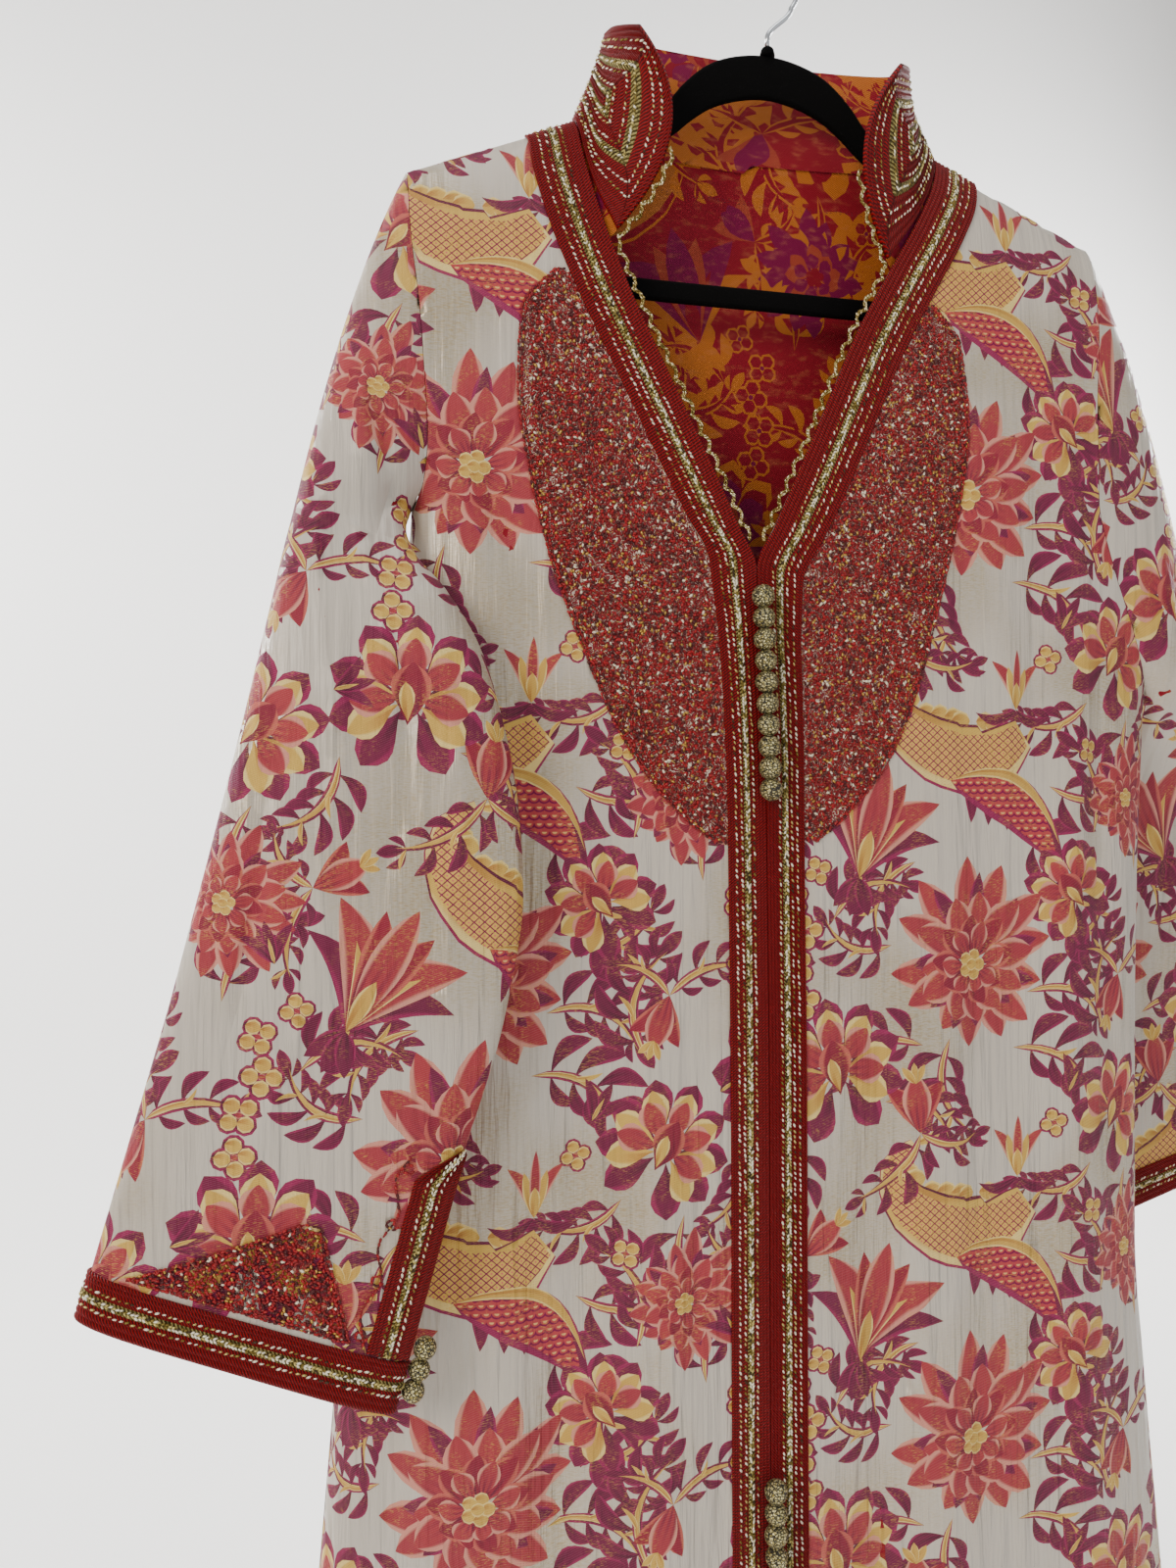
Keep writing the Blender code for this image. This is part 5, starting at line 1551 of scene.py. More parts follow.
def grid_normals(grid, outward):
    """Unit normals of a grid of points, facing outward on the whole."""
    normal = unit(np.cross(np.gradient(grid, axis=1), np.gradient(grid, axis=0)))
    return normal * (1.0 if (normal * outward).sum() > 0 else -1.0)


def grid_triangles(rows, columns):
    """Two triangles for each cell of a grid, cell by cell."""
    i, j = np.meshgrid(np.arange(rows - 1), np.arange(columns - 1), indexing="ij")
    a = (i * columns + j).ravel()
    quads = np.stack([a, a + 1, a + columns + 1, a, a + columns + 1, a + columns], -1)
    return quads.reshape(-1, 3)


def set_lay(item, across, along):
    """Store where each point lies in its braid, in millimetres."""
    lay = np.stack([across, along, np.zeros_like(across)], -1)
    store(item.data, "lay", "FLOAT_VECTOR", "POINT", lay)


def arc_lengths(points):
    """Distance along a line of points."""
    steps = np.linalg.norm(np.diff(points, axis=0), axis=-1)
    return np.concatenate([[0.0], np.cumsum(steps)])


def at_lengths(where, lengths, line):
    """Points at distances along a line of points."""
    return np.stack([np.interp(where, lengths, line[:, k]) for k in range(3)], -1)


def lay_braid(node, base, outward, rows, stitches):
    """Ridged braid over a grid of points, one row of the grid for each station along it.

    base(u) gives the stations' points at a place u across, from 0 to 1. The dashes on it are
    added to stitches. The braid takes its name from the node that it stands for.
    """
    places, heights, numbers = braid_profile(rows)
    grid = np.stack([base(u) for u in places], axis=1)
    normals = grid_normals(grid, outward)
    raised = grid + normals * heights[None, :, None]
    first = grid[:, :1] + normals[:, :1] * GAP
    last = grid[:, -1:] + normals[:, -1:] * GAP
    full = np.concatenate([first, raised, last], axis=1)
    count, columns = full.shape[:2]
    width = np.linalg.norm(grid[count // 2, -1] - grid[count // 2, 0])
    across = np.tile(np.concatenate([[-1], places * width, [width + 1]]), count)
    along = np.repeat(arc_lengths(grid[:, grid.shape[1] // 2]), columns)
    triangles = grid_triangles(count, columns)
    cell = np.concatenate([[0], numbers[1:], [numbers[-1]]])
    gold = np.array([row.kind == "gold" for row in rows])
    kinds = np.repeat(np.tile(gold[cell].astype(int), count - 1), 2)
    points = full.reshape(-1, 3)
    directions = np.concatenate([normals[:, :1], normals, normals[:, -1:]], axis=1)
    turned = turned_with(points, triangles, directions.reshape(-1, 3))
    item = mesh_from(node + "_braid", points, turned, [BRAID_RED, BRAID_GOLD], kinds)
    set_lay(item, across, along)
    for kind, pitch in ROW_PITCH:
        for place in middles(rows, (kind,)):
            column = min(range(len(places)), key=lambda k: abs(places[k] - place))
            line = raised[:, column]
            for shift, lean in ((-0.75, 28), (0.75, -28)) if kind == "gold" else ((0.0, 24),):
                side = unit(np.gradient(grid, axis=1)[:, column]) * shift
                stitches.along(line + side, normals[:, column], pitch, lean, kind)
    return hand_in(item, "braid", node)


class Stitches:
    """Places of short thread stitches, with their directions, tones and sizes."""

    def __init__(self, seed):
        self.chance = np.random.default_rng(seed)
        self.points = []
        self.turns = []
        self.tones = []

    def add(self, points, along, normals, tones):
        along = unit(along)
        normals = unit(normals)
        side = unit(np.cross(normals, along))
        normals = np.cross(along, side)
        turn_y = np.arcsin(np.clip(-along[:, 2], -1, 1))
        turn_x = np.arctan2(side[:, 2], normals[:, 2])
        turn_z = np.arctan2(along[:, 1], along[:, 0])
        self.points.append(points)
        self.turns.append(np.stack([turn_x, turn_y, turn_z], -1))
        self.tones.append(tones)

    def along(self, line, normals, pitch, lean, kind):
        """A row of stitches along a line of points, leaning by an angle in degrees.

        normals has a direction for each point, or one for all of them.
        """
        lengths = arc_lengths(line)
        normals = np.broadcast_to(normals, line.shape)
        count = max(2, int(lengths[-1] / pitch))
        where = (np.arange(count) + 0.5 + self.chance.uniform(-0.16, 0.16, count)) * (
            lengths[-1] / count)
        points = at_lengths(where, lengths, line)
        up = unit(at_lengths(where, lengths, normals))
        tangent = unit(at_lengths(where + 0.5, lengths, line)
                       - at_lengths(where - 0.5, lengths, line))
        side = np.cross(up, tangent)
        angle = np.radians(lean + self.chance.uniform(-12, 12, count))[:, None]
        heading = tangent * np.cos(angle) + side * np.sin(angle)
        points = points + side * self.chance.uniform(-0.3, 0.3, count)[:, None]
        tones = self.chance.uniform(0.0, 1.0, count)
        if kind == "cord":
            tones = tones * 0.9
        self.add(points, heading, up, tones)

    def build(self, name, material, size, spread=0.2):
        item = mesh_from(name, np.concatenate(self.points), np.zeros((0, 3), int), [])
        store(item.data, "turn", "FLOAT_VECTOR", "POINT", np.concatenate(self.turns))
        store(item.data, "tone", "FLOAT", "POINT", np.concatenate(self.tones))
        set_on_points(item, material, size, spread)
        return item


def sew_dashes(stitches, name, *nodes):
    """The dashes gathered while braid was laid, as one piece."""
    return hand_in(stitches.build(name + "_dashes", DASH_THREAD, DASH_SIZE), "braid", *nodes)


def set_on_points(item, material, size, spread, segments=6, rings=2, seed=4):
    """Put a turned ball of the given size, in millimetres, on each vertex of an object."""
    tree = bpy.data.node_groups.new(item.name + "_thread", "GeometryNodeTree")
    names = ("Length", "Width", "Height", "Spread")
    tree.interface.new_socket("Geometry", in_out="INPUT", socket_type="NodeSocketGeometry")
    for name in names:
        tree.interface.new_socket(name, in_out="INPUT", socket_type="NodeSocketFloat")
    tree.interface.new_socket("Geometry", in_out="OUTPUT", socket_type="NodeSocketGeometry")
    start = add_node(tree, "NodeGroupInput").outputs
    ball = add_node(tree, "GeometryNodeMeshUVSphere",
                    {"Segments": segments, "Rings": rings, "Radius": 0.5})
    soft = add_node(tree, "GeometryNodeSetShadeSmooth", {"Geometry": ball.outputs["Mesh"]})
    lengths = add_node(tree, "ShaderNodeCombineXYZ",
                       {0: start["Length"], 1: start["Width"], 2: start["Height"]})
    low, high = (add_node(tree, "ShaderNodeMath", {0: 1.0, 1: start["Spread"]}, operation=operation)
                 for operation in ("SUBTRACT", "ADD"))
    vary = add_node(tree, "FunctionNodeRandomValue",
                    {2: low.outputs[0], 3: high.outputs[0], "Seed": seed}, data_type="FLOAT")
    scaled = add_node(tree, "ShaderNodeVectorMath",
                      {0: lengths.outputs[0], "Scale": vary.outputs[1]}, operation="SCALE")
    turn = add_node(tree, "GeometryNodeInputNamedAttribute", {"Name": "turn"},
                    data_type="FLOAT_VECTOR")
    rotate = add_node(tree, "FunctionNodeEulerToRotation", {0: turn.outputs[0]})
    placed = add_node(tree, "GeometryNodeInstanceOnPoints", {
        "Points": start["Geometry"], "Instance": soft.outputs["Geometry"],
        "Rotation": rotate.outputs[0], "Scale": scaled.outputs[0]})
    real = add_node(tree, "GeometryNodeRealizeInstances", {"Geometry": placed.outputs["Instances"]})
    dress = add_node(tree, "GeometryNodeSetMaterial",
                     {"Geometry": real.outputs["Geometry"], "Material": material})
    add_node(tree, "NodeGroupOutput", {0: dress.outputs["Geometry"]})

    modifier = item.modifiers.new("thread", "NODES")
    modifier.node_group = tree
    for name, value in zip(names, (*[s * MM for s in size], spread)):
        modifier[tree.interface.items_tree[name].identifier] = value
    made_plain(item)


def made_plain(item):
    """Turn an object with modifiers into plain mesh."""
    graph = bpy.context.evaluated_depsgraph_get()
    mesh = bpy.data.meshes.new_from_object(item.evaluated_get(graph))
    old = item.data
    item.modifiers.clear()
    item.data = mesh
    mesh.name = item.name
    bpy.data.meshes.remove(old)


def hand_in(item, slot, *nodes):
    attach(item, "root")
    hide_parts(*nodes)
    return item


def tube(name, path, radius, material, sides=12):
    """Round wire or cord along a path, with closed ends."""
    path = np.asarray(path, float)
    tangent = unit(np.gradient(path, axis=0))
    across = unit(np.cross(tangent, np.array([0.0, 1.0, 0.02])))
    other = np.cross(across, tangent)
    radius = np.broadcast_to(np.asarray(radius, float), (len(path),))
    angles = np.arange(sides) * 2 * math.pi / sides
    ring = (across[:, None] * np.cos(angles)[None, :, None]
            + other[:, None] * np.sin(angles)[None, :, None])
    points = (path[:, None] + ring * radius[:, None, None]).reshape(-1, 3)
    triangles = []
    for i in range(len(path) - 1):
        for k in range(sides):
            a = i * sides + k
            b = i * sides + (k + 1) % sides
            triangles += [(a, b, b + sides), (a, b + sides, a + sides)]
    last = (len(path) - 1) * sides
    for k in range(1, sides - 1):
        triangles += [(0, k + 1, k), (last, last + k, last + k + 1)]
    triangles = turned_with(points, np.array(triangles), ring.reshape(-1, 3))
    return mesh_from(name, points, triangles, [material])


# Bands

VEE_END_Z = -403.0


def front_band(side):
    """Points across the band down one front: 0 is its outer edge and 1 the opening."""
    name = side_name(side)
    neck_z = neck_side(side)[1]
    under_z = getattr(ARMHOLE[-1], "z_" + name)
    upper = np.linspace(0, 1, 96)
    lower = np.linspace(0, 1, 300)[1:]
    z_in = np.concatenate([blend(neck_z, VEE_END_Z, upper), blend(VEE_END_Z, HEM_Z, lower)])
    z_skirt = blend(under_z, HEM_Z, lower)
    x_in = vee_x(side, z_in)
    x_out = side * np.concatenate([read(ARMHOLE, upper, "x_" + name),
                                   read(LEVELS, z_skirt, "side_" + name)])
    z_out = np.concatenate([read(ARMHOLE, upper, "z_" + name), z_skirt])
    width = read(BAND, z_in, "width") / np.abs(x_out - x_in)

    def base(u):
        w = width * (1 - u)
        return body_points(FRONT, x_in + (x_out - x_in) * w, z_in + (z_out - z_in) * w)

    return base


def sleeve_layers(side):
    """The sleeve's upper and under layer."""
    return [SleevePanel(side, layer, (0, 0), 0) for layer in (1, -1)]


def slit_gap(panel, w):
    """The layers stand a little apart where the slit ends."""
    away = panel.swing * panel.layer * SLIT_HALF_OPENING * np.clip(w - 0.9, 0, 1) * 10
    return np.stack([np.zeros_like(w), away, np.zeros_like(w)], -1)


def cuff_band(side):
    """Points across the band round the cuff: 0 is its top and 1 the sleeve's end."""
    upper, under = sleeve_layers(side)
    w = (1 - np.cos(np.linspace(0, math.pi, 64))) / 2

    def base(u):
        s = np.full(len(w), 1 + blend(CUFF_TOP, 1.0, u) - 1e-6)
        over = upper.surface(s, w[::-1]) + slit_gap(upper, w[::-1])
        below = under.surface(s, w) + slit_gap(under, w)
        return np.concatenate([over, below[1:]])

    return base


def slit_band(side):
    """Points across the band beside the slit: 0 is the sleeve's side and 1 the slit."""
    upper = sleeve_layers(side)[0]
    s = 1 + np.linspace(SLIT_TOP - 0.012, CUFF_TOP - 0.002, 50)
    point = np.clip((s - 1 - SLIT_TOP + 0.012) / 0.03, 0, 1) ** 0.7

    def base(u):
        start = blend(1.0, SLIT_BAND_EDGE, point)
        w = blend(start, 1.0, u) - 1e-4
        return upper.surface(s, w) + slit_gap(upper, w)

    return base


def neckline_points(part):
    """The neckline: 0 at the middle of the back, -1 and 1 at the collar's front ends."""
    result = np.zeros((len(part), 3))
    amount = np.abs(part)
    for side in (RIGHT, LEFT):
        neck_x, neck_z = neck_side(side)
        middle = float(centre_x(neck_z))
        along = np.sin(np.minimum(amount / COLLAR_SIDE, 1) * math.pi / 2)
        behind = body_points(BACK, blend(middle, neck_x, along),
                             blend(neck_z - BACK_NECK_DROP, neck_z, along ** 4))
        down = np.clip((amount - COLLAR_SIDE) / (1 - COLLAR_SIDE), 0, 1)
        z = blend(neck_z, COLLAR_END_Z, down)
        before = body_points(FRONT, vee_x(side, z), z)
        here = np.where((amount <= COLLAR_SIDE)[:, None], behind, before)
        result = np.where((part * side >= 0)[:, None], here, result)
    return result


def collar_points(part, up):
    """The collar's middle surface, from the neckline up to its top edge."""
    side = np.where(part < 0, RIGHT, LEFT)
    amount = np.abs(part)
    crown = np.stack([float(centre_x(-70)) + side * read(CROWN, amount, "x"),
                      read(CROWN, amount, "y"), read(CROWN, amount, "z")], -1)
    points = neckline_points(part) * (1 - up)[:, None] + crown * up[:, None]
    flare = smooth((amount - COLLAR_FLARE_START) / (1 - COLLAR_FLARE_START))
    belly = 4 * up * (1 - up) * flare ** 2
    points[:, 0] -= side * COLLAR_FLARE_IN * belly
    points[:, 1] -= COLLAR_FLARE_OUT * belly
    return points


def collar_frame(part, up):
    """Points of the collar's middle surface and directions away from the neck."""
    step = 0.01
    low_part = np.clip(part - step, -1, 1)
    high_part = np.clip(part + step, -1, 1)
    low_up = np.clip(up - step, -1, 1)
    high_up = np.clip(up + step, -1, 1)
    run = collar_points(high_part, up) - collar_points(low_part, up)
    rise = collar_points(part, high_up) - collar_points(part, low_up)
    return collar_points(part, up), unit(np.cross(rise, run))


def back_neck_band():
    """Points across the band below the collar on the back: 0 is its lower edge."""
    part = COLLAR_SIDE * 0.985 * np.linspace(-1, 1, 110)
    line = neckline_points(part)
    turn = np.sin(np.abs(part) / COLLAR_SIDE * math.pi / 2) ** 3
    away = unit(np.stack([np.sign(part) * turn, -blend(1.0, SHOULDER_SLOPE + 0.12, turn)], -1))

    def base(u):
        reach = 30.0 * (1 - u)
        return body_points(BACK, line[:, 0] + away[:, 0] * reach, line[:, 2] + away[:, 1] * reach)

    return base


COLLAR_HALF_LENGTH = 235.0
COLLAR_HEIGHT = 84.0
# Height over the belly of the collar, for the run of its cords
COLLAR_CURVED_HEIGHT = 90.0
COLLAR_ROWS_WIDE = 48.0
COLLAR_FOOT = 0.035
COLLAR_TUCK = 0.05


def make_collar(stitches):
    """Collar: braid in rows that follow its edges, with their dashes; the brocade's reverse inside is
    made as a piece of its own.
    """
    places, heights, numbers = braid_profile(COLLAR_BRAID)
    ends = 1 - places * COLLAR_ROWS_WIDE / COLLAR_HALF_LENGTH
    count = int((COLLAR_HALF_LENGTH - COLLAR_ROWS_WIDE) * 2 / 3.4)
    parts = np.concatenate([-ends, np.linspace(-ends[-1], ends[-1], count)[1:-1], ends[::-1]])
    ups = np.concatenate([places / 2, 1 - places[-2::-1] / 2])
    ups = COLLAR_FOOT + (1 - COLLAR_FOOT) * ups
    grid_part, grid_up = np.meshgrid(parts, ups, indexing="ij")
    part = grid_part.ravel()
    up = grid_up.ravel()

    def depth(part, up):
        real = (up - COLLAR_FOOT) / (1 - COLLAR_FOOT)
        side = (1 - np.abs(part)) * COLLAR_HALF_LENGTH / COLLAR_ROWS_WIDE
        return np.minimum(np.minimum(2 * real, 2 - 2 * real), side)

    near = np.minimum(depth(part, up), 1.0)
    base, normals = collar_frame(part, up)
    lift = COLLAR_HALF - BRAID_BASE + np.interp(near, places, heights)
    shape = (len(parts), len(ups))
    points = (base + normals * lift[:, None]).reshape(*shape, 3)
    inner = (base - normals * COLLAR_HALF).reshape(*shape, 3)
    full = np.concatenate([inner[:1], points, inner[-1:]], axis=0)
    edge = np.concatenate([inner[:1], inner, inner[-1:]], axis=0)
    full = np.concatenate([edge[:, :1], full, edge[:, -1:]], axis=1)
    rows, columns = full.shape[:2]
    triangles = grid_triangles(rows, columns)
    padded = np.pad(near.reshape(shape), 1, mode="edge")
    flat = padded.ravel()
    middle = flat[triangles].mean(axis=1)
    number = numbers[np.clip(np.searchsorted(places, middle), 0, len(numbers) - 1)]
    gold = np.array([row.kind == "gold" for row in COLLAR_BRAID])
    normal_rows = np.pad(normals.reshape(*shape, 3), ((1, 1), (1, 1), (0, 0)), mode="edge")
    points = full.reshape(-1, 3)
    turned = turned_with(points, triangles, normal_rows.reshape(-1, 3))
    item = mesh_from("collar_braid", points, turned, [BRAID_RED, BRAID_GOLD],
                     gold[number].astype(int))
    along = np.repeat(np.pad(parts, 1, mode="edge"), columns) * COLLAR_HALF_LENGTH
    height = np.tile(np.pad(ups, 1, mode="edge"), rows) * COLLAR_CURVED_HEIGHT
    at_side = (1 - np.abs(along) / COLLAR_HALF_LENGTH) * COLLAR_HALF_LENGTH / COLLAR_ROWS_WIDE
    set_lay(item, flat * COLLAR_ROWS_WIDE, np.where(at_side <= flat + 1e-6, height, along))
    for kind, pitch in ROW_PITCH:
        for place in middles(COLLAR_BRAID, (kind,)):
            rise = float(np.interp(place, places, heights)) + COLLAR_HALF - BRAID_BASE
            end = 1 - place * COLLAR_ROWS_WIDE / COLLAR_HALF_LENGTH
            low = COLLAR_FOOT + (1 - COLLAR_FOOT) * place / 2
            high = COLLAR_FOOT + (1 - COLLAR_FOOT) * (1 - place / 2)
            run = np.linspace(-end, end, 160)
            climb = np.linspace(low, high, 40)
            for line_part, line_up in ((run, np.full(160, low)), (run, np.full(160, high)),
                                       (np.full(40, -end), climb), (np.full(40, end), climb)):
                at, away = collar_frame(line_part, line_up)
                stitches.along(at + away * rise, away, pitch, 26, kind)
    hand_in(item, "braid", "collar")


# Embroidery

STITCH_SPACING = 2.35
# Distance and lean in degrees of the stitches in the edge lines
EDGE_PITCH = 2.5
EDGE_LEAN = 6
GROUND_LIFT = 0.5
CURL = 15.0


def curl_field(places, seed):
    """Direction of the curling stitches at flat places, in radians."""
    chance = np.random.default_rng(seed)
    angle = np.zeros(len(places))
    for size, weight in ((CURL, 2.6), (CURL * 2.1, 2.0), (CURL * 0.55, 1.4)):
        for _ in range(5):
            turn = chance.uniform(0, 2 * math.pi)
            wave = places @ np.array([math.cos(turn), math.sin(turn)]) * 2 * math.pi / size
            angle += weight * np.sin(wave / 2 + chance.uniform(0, 6.3))
    return angle


def scattered(low, high, spacing, seed):
    """Flat places spread evenly but not in rows."""
    chance = np.random.default_rng(seed)
    across = np.arange(low[0], high[0], spacing)
    down = np.arange(low[1], high[1], spacing * 0.87)
    x, z = np.meshgrid(across, down, indexing="ij")
    x = x + (np.arange(len(down)) % 2)[None, :] * spacing / 2
    places = np.stack([x.ravel(), z.ravel()], -1)
    return places + chance.uniform(-0.34, 0.34, places.shape) * spacing


def fill(stitches, panel_points, places, seed, lift):
    """Chain stitches in curls over flat places; a few small gaps stay open."""
    angle = curl_field(places, seed)
    ahead = places + np.stack([np.cos(angle), np.sin(angle)], -1) * 0.6
    points = panel_points(places, lift)
    along = panel_points(ahead, lift) - points
    run = panel_points(places + [0.6, 0], lift) - points
    rise = panel_points(places + [0, 0.6], lift) - points
    normals = unit(np.cross(run, rise))
    tones = stitches.chance.uniform(0, 1, len(places))
    stitches.add(points, along, normals, tones)


def make_plastron(side):
    """Curls of chain stitch over the chest, on the brocade, with an edge of the same stitch."""
    stitches = Stitches(20 + side)
    low_z, high_z = PLASTRON[-1].z, PLASTRON[0].z
    places = scattered((-160, low_z), (150, high_z), STITCH_SPACING, 30 + side)
    x, z = places[:, 0], places[:, 1]
    middle = centre_x(z)
    reach = read(PLASTRON, z, "reach")
    inner = read(VEE, z, "half") + read(BAND, z, "width") + 1.5
    away = (x - middle) * side
    # Small open places, where two crossed waves are both high
    holes = np.sin(x / 9.0 + 2.3 * np.sin(z / 21.0)) * np.sin(z / 8.0 + 1.9 * np.sin(x / 17.0))
    keep = (away > inner) & (away < reach) & (holes < 0.93)
    keep &= (holes < 0.74) | (away < reach - 8)

    def points(flat, lift):
        return body_points(FRONT, flat[:, 0], flat[:, 1], lift)

    fill(stitches, points, places[keep], 40 + side, 0.9)
    z = np.linspace(high_z, low_z, 240)
    for inset in (0.0, 2.4):
        line = body_points(FRONT, centre_x(z) + side * (read(PLASTRON, z, "reach") - inset), z, 1.0)
        stitches.along(line, FORWARD, EDGE_PITCH, EDGE_LEAN, "cord")
    across = np.linspace(0.25, 0.95, 50)
    top = np.full(50, high_z)
    start = read(VEE, top, "half") + read(BAND, top, "width")
    x = centre_x(top) + side * blend(start, read(PLASTRON, top, "reach"), across)
    stitches.along(body_points(FRONT, x, top, 1.0), FORWARD, EDGE_PITCH, EDGE_LEAN, "cord")
    node = "plastron_" + side_name(side)
    return hand_in(stitches.build(node + "_stitches", CHAIN_THREAD, CHAIN_SIZE), "embroidery", node)


def make_plastron_ground(side):
    """Closely worked ground under the curls of the plastron."""
    low_z, high_z = PLASTRON[-1].z + 2, PLASTRON[0].z - 1
    down = np.linspace(low_z, high_z, 84)
    across = np.linspace(0.0, 1.0, 26)
    z, share = np.meshgrid(down, across, indexing="ij")
    z = z.ravel()
    inner = read(VEE, z, "half") + read(BAND, z, "width") - 2
    away = blend(inner, read(PLASTRON, z, "reach") - 1, share.ravel())
    points = body_points(FRONT, centre_x(z) + side * np.maximum(away, inner), z, GROUND_LIFT)
    triangles = turned_with(points, grid_triangles(len(down), len(across)), FORWARD)
    node = "plastron_" + side_name(side)
    item = mesh_from(node + "_ground", points, triangles, [COUCHED_GROUND])
    return hand_in(item, "embroidery", node)


def make_medallion(side):
    """Triangle of chain stitch above the cuff, outlined twice, and a vine beside the slit."""
    upper = sleeve_layers(side)[0]
    stitches = Stitches(50 + side)
    base_s = 1 + CUFF_TOP - 0.006
    top_s = 1.872
    # Corners across the sleeve at the base and at the top
    wide = (0.11, 0.80)
    narrow = (0.57, 0.62)
    length = 76.0
    width = 172.0
    places = scattered((0, 0), (width, length), STITCH_SPACING, 60 + side)
    w = places[:, 0] / width
    climb = places[:, 1] / length
    keep = (w > blend(wide[0], narrow[0], climb)) & (w < blend(wide[1], narrow[1], climb))
    keep &= climb < 0.97

    def at(flat, lift):
        s = blend(base_s, top_s, np.clip(flat[:, 1] / length, 0, 1))
        return upper.place(s, np.clip(flat[:, 0] / width, 0.02, 0.98), lift)

    fill(stitches, at, places[keep], 70 + side, 0.9)
    run = np.linspace(0, 1, 60)
    for inset in (0.0, 2.6):
        corners = [(wide[0] * width + inset * 3.4, inset), (narrow[0] * width, length - inset * 1.5),
                   (narrow[1] * width, length - inset * 1.5), (wide[1] * width - inset * 1.4, inset)]
        for start, finish in zip(corners, corners[1:] + corners[:1]):
            flat = np.stack([blend(start[0], finish[0], run), blend(start[1], finish[1], run)], -1)
            stitches.along(at(flat, 1.1), upper.outward, EDGE_PITCH, EDGE_LEAN, "cord")
    # The vine: a waved cord with small rings
    t = np.linspace(0, 1, 150)
    s = 1 + blend(0.955, SLIT_TOP, t)
    w = 0.845 - 0.035 * np.sin(t * 9.0) ** 2 - 0.01 * t
    stitches.along(upper.place(s, w, 1.1), upper.outward, 2.2, EDGE_LEAN, "cord")
    radius = 3.2
    tube_length = 900.0
    rings = 4
    for k in range(rings):
        centre_s = 1 + blend(0.945, SLIT_TOP + 0.01, k / (rings - 1))
        turn = np.linspace(0, 1.7 * math.pi, 26)
        s = centre_s + radius / tube_length * np.sin(turn)
        w = 0.83 + radius / width * np.cos(turn)
        stitches.along(upper.place(s, w, 1.2), upper.outward, 2.0, EDGE_LEAN, "cord")
    node = "medallion_" + side_name(side)
    return hand_in(stitches.build(node + "_stitches", CHAIN_THREAD, CHAIN_SIZE), "embroidery", node)


# Buttons and cords

BALL = 14.4
CHEST_PITCH = 13.2
CHEST_TOP_Z = -421.0
LOWER_TOP_Z = -968.0
BALL_COUNT = 10
CUFF_BALL = 13.0
CUFF_BALL_PITCH = 12.0
SCALLOP_LENGTH = 12.0
SCALLOP_FOOT = 1.6
SCALLOP_REACH = 3.4


def make_balls(node, places, diameter):
    """Knotted thread balls on the given places."""
    item = mesh_from(node + "_balls", places, np.zeros((0, 3), int), [])
    turns = np.random.default_rng(5).uniform(-3, 3, (len(places), 3))
    store(item.data, "turn", "FLOAT_VECTOR", "POINT", turns)
    set_on_points(item, BALL_THREAD, (diameter, diameter * 0.97, diameter * 0.95), 0.03, 28, 18)
    hand_in(item, "gold_thread", node)


def make_buttons():
    for node, top in (("chest_buttons", CHEST_TOP_Z), ("lower_buttons", LOWER_TOP_Z)):
        bottom = top - CHEST_PITCH * (BALL_COUNT - 1)
        stand_off = BRAID + GAP + BALL / 2 + 0.6
        ends = []
        for z in (top, bottom):
            x = float(centre_x(z))
            y = -float(body_depth(FRONT, np.array([x]), np.array([z]))[0]) - stand_off
            ends.append(np.array([x, y, z]))
        t = np.linspace(0, 1, BALL_COUNT)[:, None]
        make_balls(node, blend(ends[0], ends[1], t), BALL)
    for side in (RIGHT, LEFT):
        upper = sleeve_layers(side)[0]
        rim = upper.surface(np.array([2 - 1e-6, 1 + 0.87]), np.array([1.0, 1.0]))
        up = unit(rim[1] - rim[0])
        inward = np.array([-side * abs(up[2]), 0, 0])
        start = rim[0] + up * 10 + inward * (CUFF_BALL / 2 + BRAID + 1.0)
        points = start + up * (np.arange(3) * CUFF_BALL_PITCH)[:, None]
        make_balls("cuff_buttons_" + side_name(side), points, CUFF_BALL)


def make_picot(side):
    """Scalloped cord of gold thread along the V and up the collar's front edge."""
    z = np.linspace(-386, COLLAR_END_Z - 4, 70)
    low = body_points(FRONT, vee_x(side, z), z)
    ups = np.linspace(0.05, 0.42, 24)
    high = collar_points(np.full(24, float(side)), ups)
    stations = np.concatenate([low, high])
    lengths = arc_lengths(stations)
    where = np.arange(0, lengths[-1], 0.8)
    line = at_lengths(where, lengths, stations)
    tangent = unit(np.gradient(line, axis=0))
    inward = np.stack([-side * np.abs(tangent[:, 2]), np.zeros(len(line)),
                       side * tangent[:, 0] * np.sign(tangent[:, 2])], -1)
    inward = unit(inward * np.where(inward[:, 0] * side > 0, -1, 1)[:, None])
    scallop = np.abs(np.sin(math.pi * where / SCALLOP_LENGTH))
    cord = line + inward * (SCALLOP_FOOT + SCALLOP_REACH * scallop)[:, None]
    cord[:, 1] -= 0.6
    stitches = Stitches(80 + side)
    for shift in (-0.55, 0.55):
        side_step = unit(np.cross(unit(np.gradient(cord, axis=0)), FORWARD)) * shift
        stitches.along(cord + side_step, FORWARD, 1.15, 38, "gold")
    node = "picot_" + side_name(side)
    hand_in(stitches.build(node + "_cord", GOLD_CORD, PICOT_SIZE, 0.1), "gold_thread", node)


